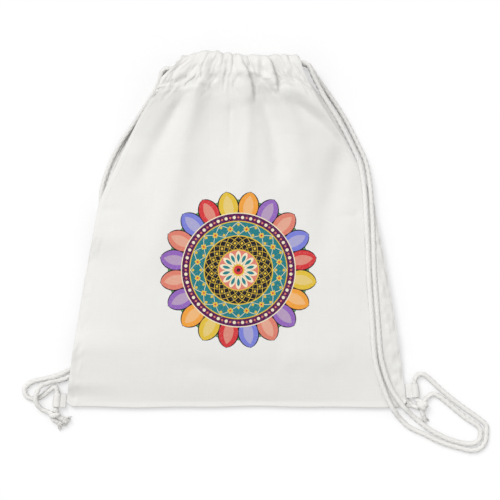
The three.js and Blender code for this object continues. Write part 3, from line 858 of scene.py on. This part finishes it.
def channel_rows(s, count, centre_z, outward):
    """Rows of the channel. Its inner half is narrower, which leaves room for the turning cord."""
    rows = []
    for degrees in np.linspace(*CHANNEL_TURN, count + 1)[1:]:
        angle = math.radians(degrees)
        y = CHANNEL_Y + rounded(math.sin(angle)) * CHANNEL_HALF
        z = centre_z + outward * rounded(math.cos(angle)) * CHANNEL_DEPTH
        x = s * half_width(y) * mix(1, INNER_WIDTH, ease(degrees, *INNER_TURN))
        rows.append(np.stack([x, np.full_like(x, y), np.full_like(x, z)], axis=-1))
    return np.array(rows)


def panel_grid(s, rows, surface, *channel):
    """Points of a panel: its rows over the bag, then the rows of its channel."""
    shares, y = np.meshgrid(s, rows)
    x = shares * half_width(y)
    return np.vstack([np.stack([x, y, surface(x, y)], axis=-1), channel_rows(s, *channel)])


# %% Measures of a grid
def unrolled(points):
    """Distance along each column of a grid, from its first row."""
    steps = np.linalg.norm(np.diff(points, axis=0), axis=-1)
    return np.concatenate([np.zeros((1, points.shape[1])), np.cumsum(steps, axis=0)])


def fade_inside(points, body_rows, begin, end):
    """1 over the bag and the outer half of the channel, and 0 on its inner half."""
    fade = np.ones(points.shape[:2])
    fade[body_rows:] = 1 - ease(np.arange(len(points) - body_rows), begin, end)[:, None]
    return fade


def face_normals(points):
    """Directions square to a grid."""
    across = np.gradient(points, axis=1)
    along = np.gradient(points, axis=0)
    return unit(np.cross(across, along))


# %% Grid of the front
s_front = columns(221, 0.82)
y_front = panel_rows(58, 92)
body_count = len(y_front)
front_points = panel_grid(s_front, y_front, front_surface, 45, FRONT_Z, 1)
print("front grid", front_points.shape)

# %% Folds, gathers and crumples of the front
GATHER_SPAN = 40
GATHERING = (126, 154)
GATHER_BOW = 12
FILLING = (86, 154)
FILL_RISE = 3.0
# The lowest that a fold may go, on the bag and in the channel
DEEPEST = (-6.5, -1.3)
FRONT_FADE, BACK_FADE = (26, 34), (22, 28)
SEAM_FADE = 0.06
SMOOTHINGS = 6

v_front = unrolled(front_points) + BOTTOM_Y
x_front = front_points[..., 0]
flat_places = np.stack([x_front, v_front], axis=-1)
s_grid = np.broadcast_to(s_front, x_front.shape)
across = s_grid * GATHER_SPAN
outer = fade_inside(front_points, body_count, *FRONT_FADE)
ramp_up = ease(v_front, BODY_Y, BODY_Y + 20) * ease(1 - np.abs(s_grid), 0, SEAM_FADE)
gathered = ease(v_front - GATHER_BOW * s_grid**2, *GATHERING)
bent = across + 2.4 * crumple(across, v_front, 4.0, 9)
fine_gathers = crumple(bent, v_front, 2.3, 9) + 0.6 * crumple(bent, v_front, 1.2, 7)
creases = 1 - 2 * np.abs(crumple(bent, v_front, 3.4, 14))
folds, slid = folds_of_front(x_front, v_front)
lift = folds * ramp_up
lift += gathered * (fine_gathers + 0.9 * creases)
lift += 0.35 * crumple(x_front, v_front, 26, 40) * ramp_up
lift += 0.12 * crumple(x_front, v_front, 7, 9) * ramp_up
edge_band = ease(np.abs(s_grid), 0.90, 0.96) * ease(30 - v_front, 0, 40)
pucker = 1 - 2 * np.abs(crumple(across, v_front, 1.6, 6)) + crumple(across, v_front, 1.0, 4)
lift += 0.7 * edge_band * pucker * np.where(s_grid > 0, 1, 0.6)
deepest = mix(*DEEPEST, ease(v_front, 128, 152))
lift = np.maximum(lift + FILL_RISE * ease(v_front, *FILLING), deepest) * outer
outward = face_normals(front_points)
for _ in range(SMOOTHINGS):
    outward[1:-1] = (outward[:-2] + 2 * outward[1:-1] + outward[2:]) / 4
front_points = front_points + unit(outward) * lift[..., None]
lowest, highest = (round(float(value), 1) for value in (lift.min(), lift.max()))
print("lift of the front from", lowest, "to", highest, "mm")

# %% Outline: the uneven top edge, the rounded bottom corners, grooves under the strands
TOP_SPAN = 30
TOP_BAND = (STITCH_Y - 6, STITCH_Y + 26)
TOP_RISE = ([-66, -58, -50, -40, -30, -24, -12, -4, 4, 16, 23, 30, 46, 60, 66],
            [-7, -5.5, -4.5, -1.5, 0.8, -0.6, -0.8, -2.2, -2.4, -2.4, -3.6, -4, -3, -5, -9])

front_points[..., 0] += leaning(s_grid, front_points[..., 1]) + slid * outer
top_rise = np.interp(front_points[..., 0], *TOP_RISE)
top_rise += 0.5 * crumple(s_grid * TOP_SPAN, v_front, 1.3, 12)
front_points[..., 1] += top_rise * ease(v_front, *TOP_BAND) * outer
front_points[..., 1] += round_corner(s_grid, front_points[..., 1])
x, y, z = np.moveaxis(front_points[:body_count], -1, 0)
z[:] = pressed(x, y, z + CANVAS / 2, (right_front, right_back)) - CANVAS / 2
print("highest of the front", round(float(front_points[..., 2].max()), 1), "mm")


# %% Make a cloth piece from a grid
def add_map(mesh, name, places):
    """Give a mesh a map, from one place in metres for each of its points."""
    point_of = np.zeros(len(mesh.loops), dtype=np.int32)
    mesh.loops.foreach_get("vertex_index", point_of)
    layer = mesh.uv_layers.new(name=name)
    layer.data.foreach_set("uv", places.reshape(-1, 2)[point_of].ravel())


def cloth_mesh(name, points, outside_up=True):
    """A sheet of canvas, with a map in metres along the cloth."""
    rows, columns = points.shape[:2]
    index = np.arange(rows * columns).reshape(rows, columns)
    quads = [index[:-1, :-1], index[:-1, 1:], index[1:, 1:], index[1:, :-1]]
    quads = np.stack(quads if outside_up else quads[::-1], axis=-1)
    mesh = bpy.data.meshes.new(name)
    mesh.from_pydata((points.reshape(-1, 3) * MM).tolist(), [], quads.reshape(-1, 4).tolist())
    u = unrolled(np.swapaxes(points, 0, 1)).T
    u = u - u[:, columns // 2][:, None]
    add_map(mesh, "UVMap", np.stack([u, unrolled(points)], axis=-1) * MM)
    mesh.shade_smooth()
    return mesh


def thicken(piece, thickness):
    """Give a sheet its thickness, half of it on each side."""
    bpy.ops.object.select_all(action="DESELECT")
    bpy.context.view_layer.objects.active = piece
    piece.select_set(True)
    wall = piece.modifiers.new("wall", "SOLIDIFY")
    wall.thickness = thickness * MM
    wall.offset = 0
    wall.use_even_offset = False
    bpy.ops.object.modifier_apply(modifier="wall")
    return len(piece.data.polygons)


# %% [markdown]
# ## Canvas finish and the print
# The canvas is a plain weave of off-white cotton. Its yarns are drawn from the map in metres, so
# they follow the cloth, with a few thicker yarns and a faint mottling. The front carries a round
# print in bright inks. It is a general rosette: rings of petals, diamonds and dots with a ring of
# coloured petals round them, worked out from the distance and the angle round its centre.

# %% Canvas
CANVAS_COLOUR = (0.875, 0.868, 0.845, 1)
CANVAS_SHADE = (0.82, 0.812, 0.785, 1)
WEAVE_PITCH = 0.62 * MM
YARN_WANDER = 0.8 * MM
SLUB_WIDTHS, SLUB_LENGTHS = 900.0, 25.0


def weave(shade):
    """Height of the weave, and a factor for its slight changes of colour."""
    uv = shade.map("UVMap")
    u, v, _ = shade.parts(uv)
    wobble = shade.noise(uv, 60.0) * YARN_WANDER
    turn = 2 * math.pi / WEAVE_PITCH
    warp = ((u + wobble) * turn).math("SINE")
    weft = ((v + wobble) * turn).math("SINE")

    def slubs(scale_u, scale_v):
        place = shade.node("ShaderNodeCombineXYZ", values={0: u * scale_u, 1: v * scale_v})[0]
        return shade.noise(place, 1.0, detail=1.0)

    thick = slubs(SLUB_WIDTHS, SLUB_LENGTHS) + slubs(SLUB_LENGTHS, SLUB_WIDTHS)
    return warp * weft * 0.5 + thick, thick * 0.35 + shade.noise(uv, 45.0, detail=3.0) * 0.3


def canvas_finish(name, ink_on=None):
    """Woven canvas, with inks over it where a print is given."""
    shade = Shade(bpy.data.materials.new(name))
    height, tone = weave(shade)
    tint = shade.mix(tone, CANVAS_COLOUR, CANVAS_SHADE)
    if ink_on:
        tint = ink_on(shade, tint)
    bump = shade.bump(height, 0.35, 0.3 * MM)
    return shade.finish(Base_Color=tint, Roughness=0.92, Normal=bump, Specular_IOR_Level=0.2)


canvas_material = canvas_finish("cotton_canvas")

# %% Helpers for the print: places in a ring that repeats round a centre
PRINT_CENTRE = (2.0, -38.5)
INKS = {
    "night": (0.012, 0.01, 0.016, 1), "gold": (0.76, 0.52, 0.05, 1),
    "cream": (0.87, 0.78, 0.56, 1), "teal": (0.02, 0.205, 0.235, 1),
    "plum": (0.105, 0.01, 0.085, 1), "coral": (0.74, 0.22, 0.16, 1),
    "green": (0.045, 0.24, 0.1, 1), "leaf": (0.16, 0.36, 0.12, 1), "red": (0.66, 0.045, 0.05, 1),
    "violet": (0.3, 0.14, 0.5, 1), "blue": (0.2, 0.22, 0.68, 1), "orange": (0.88, 0.36, 0.05, 1),
}


def from_middle(angle, count, shift=0.0):
    """0 on the middle line of each of a number of equal sectors, and 1 between two of them."""
    return abs((angle * (count / (2 * math.pi)) + count + shift).math("FRACT") - 0.5) * 2


def petals(angle, radius, count, inner, outer, shift=0.0, fullness=0.6):
    """Above 0 inside a petal of a ring, and up to 1 on its middle line."""
    along = ((radius - inner) / (outer - inner)).math("MAXIMUM", 0.0).math("MINIMUM", 1.0)
    return (along * math.pi).math("SINE") ** fullness - from_middle(angle, count, shift)


def spots(angle, radius, count, at, shift=0.0, corners=False):
    """Distance in millimetres from the nearest of a ring of spots, round or with four corners."""
    aside = from_middle(angle, count, shift) * (math.pi * at / count)
    outward = abs(radius - at)
    return aside + outward if corners else (aside**2 + outward**2) ** 0.5


def lattice(angle, radius, count, pitch):
    """0 on the lines of a lattice of slanting bars, and 0.5 in the middle of its cells."""
    turn = angle * (count / (2 * math.pi)) + count
    climb = radius / pitch
    first = abs((turn + climb).math("FRACT") - 0.5)
    second = abs((turn - climb + count).math("FRACT") - 0.5)
    return 0.5 - first.math("MAXIMUM", second)


# %% The print: rings of petals, diamonds and dots
PETALS = 20
PETAL_INKS = ("orange", "violet", "coral", "blue", "red", "gold")
NORMAL = 1


def print_inks(shade, cloth):
    """Colour of the cloth with the print on it, on its upper side only."""
    place = shade.map("print")
    x, y, _ = shade.parts(place)
    x, y = x * (1 / MM), y * (1 / MM)
    radius = (x**2 + y**2) ** 0.5
    angle = y.math("ARCTAN2", x)
    upward = shade.parts(shade.node("ShaderNodeTexCoord")[NORMAL])[2] > 0.0
    long_petals = petals(angle, radius, PETALS, 46, 78)
    short_petals = petals(angle, radius, PETALS, 46, 70, shift=0.5, fullness=0.5)
    number = (angle * (PETALS / (2 * math.pi)) + PETALS).math("FLOOR")
    count = len(PETAL_INKS)
    pick = (number * 5).math("MODULO", count) / count + 0.02
    steps = [(k / count, INKS[name]) for k, name in enumerate(PETAL_INKS)]
    petal_ink = shade.node("ShaderNodeValToRGB", {"steps": steps}, {0: pick})[0]
    petal_ink = shade.mix((long_petals > 0.5) * 0.3, petal_ink, INKS["cream"])
    teal_disc = radius < 47.8
    black_disc = radius < 33.4
    # From the lowest ink to the uppermost: where it lies, in millimetres, and its name
    layers = [
        (short_petals > 0.0, "green"), (short_petals > 0.3, "leaf"),
        ((long_petals > -0.07) * (radius < 78.5), "night"), (long_petals > 0.04, petal_ink),
        (radius < 57, "cream"), (radius < 56, "plum"),
        (spots(angle, radius, 40, 52.2) < 1.6, "cream"),
        (spots(angle, radius, 40, 52.2, shift=0.5, corners=True) < 1.3, "coral"),
        (radius < 48.8, "gold"), (teal_disc, "teal"),
        ((lattice(angle, radius - 34.5, 16, 13.2) < 0.025) * teal_disc, "cream"),
        (spots(angle, radius, 16, 41.2, corners=True) < 3.2, "gold"),
        (spots(angle, radius, 16, 41.2) < 1.0, "red"),
        (spots(angle, radius, 16, 45.2, shift=0.5, corners=True) < 1.7, "gold"),
        (spots(angle, radius, 16, 37.2, shift=0.5, corners=True) < 1.7, "gold"),
        (radius < 34.5, "gold"), (black_disc, "night"),
        ((lattice(angle, radius - 20, 24, 6.7) < 0.05) * black_disc, "gold"),
        (spots(angle, radius, 24, 26.7, corners=True) < 1.5, "gold"),
        (radius < 20.6, "gold"), (radius < 19.6, "coral"),
        (petals(angle, radius, 14, 2.5, 19) > 0.02, "cream"),
        (petals(angle, radius, 14, 7, 17) > 0.45, "teal"),
        (radius < 6.0, "gold"), (radius < 4.6, "red"), (radius < 1.8, "night"),
    ]
    inked = cloth
    for inside, ink in layers:
        inked = shade.mix(inside, inked, INKS[ink] if isinstance(ink, str) else ink)
    worn = (shade.noise(place, 500.0) - 0.55).math("MAXIMUM", 0.0)
    return shade.mix(upward * (1.0 - worn * 0.8), cloth, inked)


printed_material = canvas_finish("printed_canvas", print_inks)

# %% Front piece
front = add_piece("front_canvas", cloth_mesh("front_canvas", front_points), printed_material)
add_map(front.data, "print", (flat_places - np.array(PRINT_CENTRE)) * MM)
print("front faces", thicken(front, CANVAS))
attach(front, "bag")
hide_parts("front_panel", "print_film")

# %% Surface of the back, which lies on the table except over the hidden cords
BACK_MOUTH = 50
ROLL = 3.1
FOOT_REACH = 30
# How sharply the cloth curls up at the sides, at the bottom, and at a lifted seam
SIDE_CURL, FOOT_CURL, SEAM_CURL = 9, 4, 14
FLATTENED = 2.2
RIPPLE = 0.9


def back_surface(x, y):
    """Middle of the cloth of the back over a place."""
    width = half_width(y)
    s = np.clip(x / (width - SEAM_INSET), -1, 1)
    near_side = np.abs(s) ** SIDE_CURL
    near_bottom = (1 - share(y, BODY_Y, BODY_Y + FOOT_REACH)) ** FOOT_CURL
    rolled = 1 - (1 - near_side) * (1 - near_bottom)
    lifted = mix(hump(x, y), hump(np.sign(s) * width, y), near_side)
    lifted = lifted + seam_lift(s, y) * np.abs(s) ** SEAM_CURL
    open_mouth = ease(y, STITCH_Y - BACK_MOUTH, STITCH_Y)
    return mix(ROLL * rolled + lifted + CANVAS / 2, BACK_Z - FLATTENED, open_mouth)


# %% Back piece
s_back = columns(141, 0.86)
y_back = panel_rows(44, 70)
back_points = panel_grid(s_back, y_back, back_surface, 37, BACK_Z, -1)
v_back = unrolled(back_points) + BOTTOM_Y
s_grid = np.broadcast_to(s_back, v_back.shape)
across = s_grid * GATHER_SPAN
ripples = crumple(across, v_back, 1.9, 34) + 0.5 * crumple(across, v_back, 1.0, 18)
lift = RIPPLE * ease(v_back, 112, 150) * ripples
lift = np.clip(lift * fade_inside(back_points, len(y_back), *BACK_FADE), -RIPPLE, RIPPLE)
back_points += face_normals(back_points) * lift[..., None]
back_points[..., 1] += round_corner(s_grid, back_points[..., 1])
back_points[..., 2] = np.maximum(back_points[..., 2], CANVAS / 2 + 0.02)
back_mesh = cloth_mesh("back_canvas", back_points, outside_up=False)
back = add_piece("back_canvas", back_mesh, canvas_material)
print("back faces", thicken(back, CANVAS))
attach(back, "bag")
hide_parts("back_panel")

# %% [markdown]
# ## Tabs, knots and frayed ends
# A short strip of canvas is folded in two at each bottom corner and its ends are sewn into the
# side seam. One strand of the strap goes through the loop, the other passes below it, and the
# two are tied together so that they can't slip back. The cut ends of the cord are left to fray.
#
# The strip is a cross-section drawn once and carried across its width; the knot is made of the
# same braid as the cords, laid in tight turns; and each cut end is a soft brush with loose yarns
# round it.

# %% Folded tabs
TAB_CLOTH = 0.9
TAB_LOOP = 3.6
TAB_STEM = 1.5
TAB_ROOT = -0.3


def ply_height(out):
    """How far the middle of the upper ply lies above the hinge line."""
    return mix(TAB_STEM * 0.35, TAB_STEM, ease(out, -1, 5))


def tab_section():
    """From the seam out along the upper ply, round the cord, and back along the lower ply."""
    upper = [(x, ply_height(x)) for x in np.linspace(TAB_ROOT, TAB_REACH - TAB_LOOP * 0.9, 9)]
    arc = [(TAB_REACH + TAB_LOOP * math.cos(a), TAB_RISE + TAB_LOOP * math.sin(a))
           for a in np.radians(np.linspace(148, -148, 25))]
    return upper + arc + [(x, -z) for x, z in reversed(upper)]


def tab_grid(side):
    """The cross-section, carried across the width of the strip."""
    places = np.linspace(-TAB_WIDTH / 2, TAB_WIDTH / 2, 19)
    rows = []
    for place in places:
        edge = 1 - 0.05 * (abs(place) / (TAB_WIDTH / 2)) ** 3
        rows.append([at_tab(side, out * edge, up, place) for out, up in tab_section()])
    grid = np.array(rows)
    along = np.linspace(0, 40, grid.shape[1])[None, :]
    wave = 0.22 * crumple(along + 11, places[:, None] + 40, 4, 3.2)
    return grid + face_normals(grid) * wave[..., None]


# %% Tab pieces
for side in TAB_ROOTS:
    name = side + "_tab_canvas"
    mesh = cloth_mesh(name, tab_grid(side), outside_up=side == "left")
    piece = add_piece(name, mesh, canvas_material)
    print(side, "tab faces", thicken(piece, TAB_CLOTH))
    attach(piece, side + "_tab")
    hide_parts(side + "_tab")


# %% Meshes of thread and yarn
def thread_mesh(name, points, faces):
    """A smooth mesh of thin yarns. They show no weave, so their map is one point."""
    mesh = bpy.data.meshes.new(name)
    mesh.from_pydata((np.array(points) * MM).tolist(), [], faces)
    add_map(mesh, "UVMap", np.zeros((len(points), 2)))
    mesh.shade_smooth()
    return mesh


def bar_faces(start, rings, corners):
    """Faces of a closed bar, whose rings of points begin at an index."""
    last = start + (rings - 1) * corners
    faces = []
    for ring in range(start, last, corners):
        for corner in range(corners):
            a, b = ring + corner, ring + (corner + 1) % corners
            faces.append([a, b, b + corners, a + corners])
    caps = [list(range(start, start + corners))[::-1], list(range(last, last + corners))]
    return faces + caps


def square_to(way):
    """Two directions square to a way, the first of them level."""
    side = unit(np.cross(way, (0.0, 0.0, 1.0)))
    return side, np.cross(side, way)


# %% Frayed ends
TUFT_LENGTH = 7.5
TUFT_YARNS = 70
YARN_THICK = 0.42
YARN_RINGS, YARN_CORNERS = 6, 4
BRUSH_LENGTH = 6.0
BRUSH_RINGS, BRUSH_SIDES = 16, 40
BRUSH_FLATNESS = 0.72


def brush(name, start, way):
    """The soft body of a frayed end: it widens from the cord and ends in ragged locks."""
    curve = np.array([start + way * BRUSH_LENGTH * t - (0, 0, 0.8 * t * t)
                      for t in np.linspace(-0.15, 1, BRUSH_RINGS)])
    angles = np.linspace(0, 2 * math.pi, BRUSH_SIDES, endpoint=False)
    rings = []
    for t, centre, side, up in zip(np.linspace(0, 1, BRUSH_RINGS), curve, *frames_along(curve)):
        locks = 1 + 0.16 * t * np.sin(10 * angles + 2) + 0.08 * np.sin(23 * angles)
        out = mix(2.1, 3.3, t) * locks * (1 - share(t, 0.72, 1) ** 2 * 0.85)
        ring = np.outer(np.cos(angles) * out, side)
        ring += np.outer(np.sin(angles) * out * BRUSH_FLATNESS, up)
        rings.append(centre + ring + np.outer(0.9 * t * np.sin(6 * angles + 1), way))
    rings = np.array(rings)
    rings[..., 2] = np.maximum(rings[..., 2], 0.3)
    return tube_mesh(name, rings, np.linspace(0, BRUSH_LENGTH, BRUSH_RINGS), 2.6)


def frayed(name, start, way, seed):
    """Fine yarns that fan out round a frayed end."""
    yarns = np.random.default_rng(seed)
    side, up = square_to(way)
    points, faces = [], []
    for _ in range(TUFT_YARNS):
        angle, far = yarns.uniform(0, 2 * math.pi), yarns.uniform(0.7, 1.05)
        root = start + (side * math.cos(angle) + up * math.sin(angle)) * far * 2.0
        out = (side * math.cos(angle) * 0.62 + up * math.sin(angle) * 0.28) * far
        long = TUFT_LENGTH * yarns.uniform(0.65, 1.0)
        curl = yarns.normal(0, 0.9, 3)
        faces += bar_faces(len(points), YARN_RINGS, YARN_CORNERS)
        for k, t in enumerate(np.linspace(0, 1, YARN_RINGS)):
            p = root + way * long * t + out * long * t**1.4 + curl * math.sin(3 * t) * t
            p[2] = max(p[2] - 1.2 * t * t, 0.35)
            for corner in range(YARN_CORNERS):
                turn = corner * math.pi / 2 + 0.5 * k
                ring = side * math.cos(turn) + up * math.sin(turn)
                points.append(p + ring * YARN_THICK * (1 - 0.5 * t))
    return thread_mesh(name, points, faces)


# %% Knots: turns of braid round the strand that passes through
COIL_RADIUS = 3.4
COIL_TURNS = 1.6
COIL_SPREAD = 6.4
COIL_START = 2.2
COIL_POINTS = 40
KNOT_STEP = 0.6
KNOTS = {
    "right": {"centre": (184.9, -176.4, 5.9), "axis": (-0.5, -0.85, 0.0),
              "tails": [(175.2, -175.6, 3.6), (186.4, -186.0, 3.4)]},
    "left": {"centre": (-181.6, -184.9, 5.9), "axis": (0.35, -0.93, 0.0),
             "tails": [(-178.4, -192.4, 3.6), (-173.4, -189.4, 4.2)]},
}


def coil_round(centre, axis):
    """Points of the turns that one strand makes round the other."""
    axis = unit(np.array(axis))
    side, up = square_to(axis)
    t = np.linspace(0, 1, COIL_POINTS)[:, None]
    angle = COIL_START + 2 * math.pi * COIL_TURNS * t
    ring = side * np.cos(angle) + up * np.sin(angle)
    return centre + axis * (t - 0.5) * COIL_SPREAD + ring * COIL_RADIUS


def braided(name, points):
    """A short stretch of braided cord."""
    return tube_mesh(name, *swept_rings(evenly(centripetal(points, 16), KNOT_STEP)))


def joined(meshes, name):
    """Put several meshes together in one."""
    whole = bmesh.new()
    for mesh in meshes:
        whole.from_mesh(mesh)
    out = bpy.data.meshes.new(name)
    whole.to_mesh(out)
    whole.free()
    out.shade_smooth()
    return out


# %% Tie each knot
for number, (side, knot) in enumerate(KNOTS.items()):
    centre, tails = np.array(knot["centre"]), np.array(knot["tails"])
    entry = np.array(KNOT_ENTRIES[side])
    top = at_tab(side, TAB_REACH, TAB_RISE, TAB_WIDTH / 2 + TAB_STUB)
    mid = at_tab(side, TAB_REACH, TAB_RISE, 0)
    foot = at_tab(side, TAB_REACH, TAB_RISE, -TAB_WIDTH / 2 - 1.5)
    coil = coil_round(centre, knot["axis"])
    through = [top, (top + mid) / 2, mid, (mid + foot) / 2, foot, *coil, tails[0]]
    below = [entry, (entry + centre) / 2 + (0, 0, 0.4), centre, (centre + tails[1]) / 2, tails[1]]
    parts = [braided(side + "_through", through), braided(side + "_below", below)]
    for k, (tail, near) in enumerate(zip(tails, (coil[-1], centre))):
        way = unit(tail - near)
        parts.append(brush(f"{side}_brush_{k}", tail, way))
        parts.append(frayed(f"{side}_tuft_{k}", tail, way, seed=10 * number + k))
    name = side + "_knot_and_ends"
    piece = add_piece(name, joined(parts, name), cord_material)
    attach(piece, side + "_tab")
    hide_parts(side + "_knot")
    print(side, "knot faces", len(piece.data.polygons))

# %% [markdown]
# ## Stitches
# The hem that makes the channel, the narrow hems of the two slits and the ends of the tabs are
# sewn with white thread. Each stitch is a short bar, half sunk in the cloth, and a row of them
# follows the folded surface at an even pitch.

# %% Rows of stitches
STITCH_PITCH = 3.3
STITCH_LENGTH = 2.4
STITCH_THICK = 0.3
STITCH_CORNERS = 6
# Rings of a stitch: place along it, and thickness
STITCH_RINGS = ((-0.5, 0.35), (-0.3, 0.9), (0.3, 0.9), (0.5, 0.35))
HEM_WIDTH = 6.5


def stitch_row(line, ups):
    """Places and directions of the stitches of one row, at an even pitch along a line."""
    gone = distances(line)
    places = np.arange(STITCH_PITCH, gone[-1] - STITCH_PITCH / 2, STITCH_PITCH)
    ways = unit(picked(line, gone, places + 0.8) - picked(line, gone, places - 0.8))
    return picked(line, gone, places), ways, unit(picked(ups, gone, places))


def stitch_mesh(name, rows):
    """Rows of short bars, half sunk in the cloth."""
    points, faces = [], []
    for row in rows:
        for place, way, up in zip(*stitch_row(*row)):
            side = np.cross(way, up)
            faces += bar_faces(len(points), len(STITCH_RINGS), STITCH_CORNERS)
            for t, wide in STITCH_RINGS:
                for turn in np.arange(STITCH_CORNERS) * 2 * math.pi / STITCH_CORNERS:
                    ring = side * math.cos(turn) + up * math.sin(turn)
                    points.append(place + way * STITCH_LENGTH * t + ring * STITCH_THICK * wide)
    return thread_mesh(name, points, faces)


def inset_line(points, ups, part):
    """A line that runs up the cloth beside its edge, a hem's width from it."""
    line, lifts = [], []
    for row, up in zip(points[:, part], ups[:, part]):
        gone = distances(row)
        line.append(picked(row, gone, HEM_WIDTH))
        lifts.append(picked(up, gone, HEM_WIDTH))
    return np.array(line), np.array(lifts)


# %% Stitches of the hems
up_front = face_normals(front_points)
outer_face = front_points + up_front * CANVAS / 2
hem = (outer_face[body_count - 1, 6:-6], up_front[body_count - 1, 6:-6])
slit_rows = np.flatnonzero((y_front > SLIT_Y + 3) & (y_front < STITCH_Y - 2))
beside_slits = (outer_face[slit_rows], up_front[slit_rows])
left_slit = inset_line(*beside_slits, slice(0, 40))
right_slit = inset_line(*beside_slits, slice(None, -41, -1))
hem_mesh = stitch_mesh("hem_stitches", [hem, left_slit, right_slit])
stitches = add_piece("hem_stitches", hem_mesh, canvas_material)
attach(stitches, "bag")
print("faces of the hem stitches", len(stitches.data.polygons))

# %% Stitches of the tabs
TAB_ROWS = (2.2, 4.8)
ROW_HALF = TAB_WIDTH / 2 - 0.6

for side in TAB_ROOTS:
    rows = []
    for out in TAB_ROWS:
        up = ply_height(out) + TAB_CLOTH / 2
        line = [at_tab(side, out, up, place) for place in np.linspace(-ROW_HALF, ROW_HALF, 9)]
        rows.append((np.array(line), np.tile((0.0, 0.0, 1.0), (9, 1))))
    name = side + "_tab_stitches"
    stitches = add_piece(name, stitch_mesh(name, rows), canvas_material)
    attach(stitches, side + "_tab")
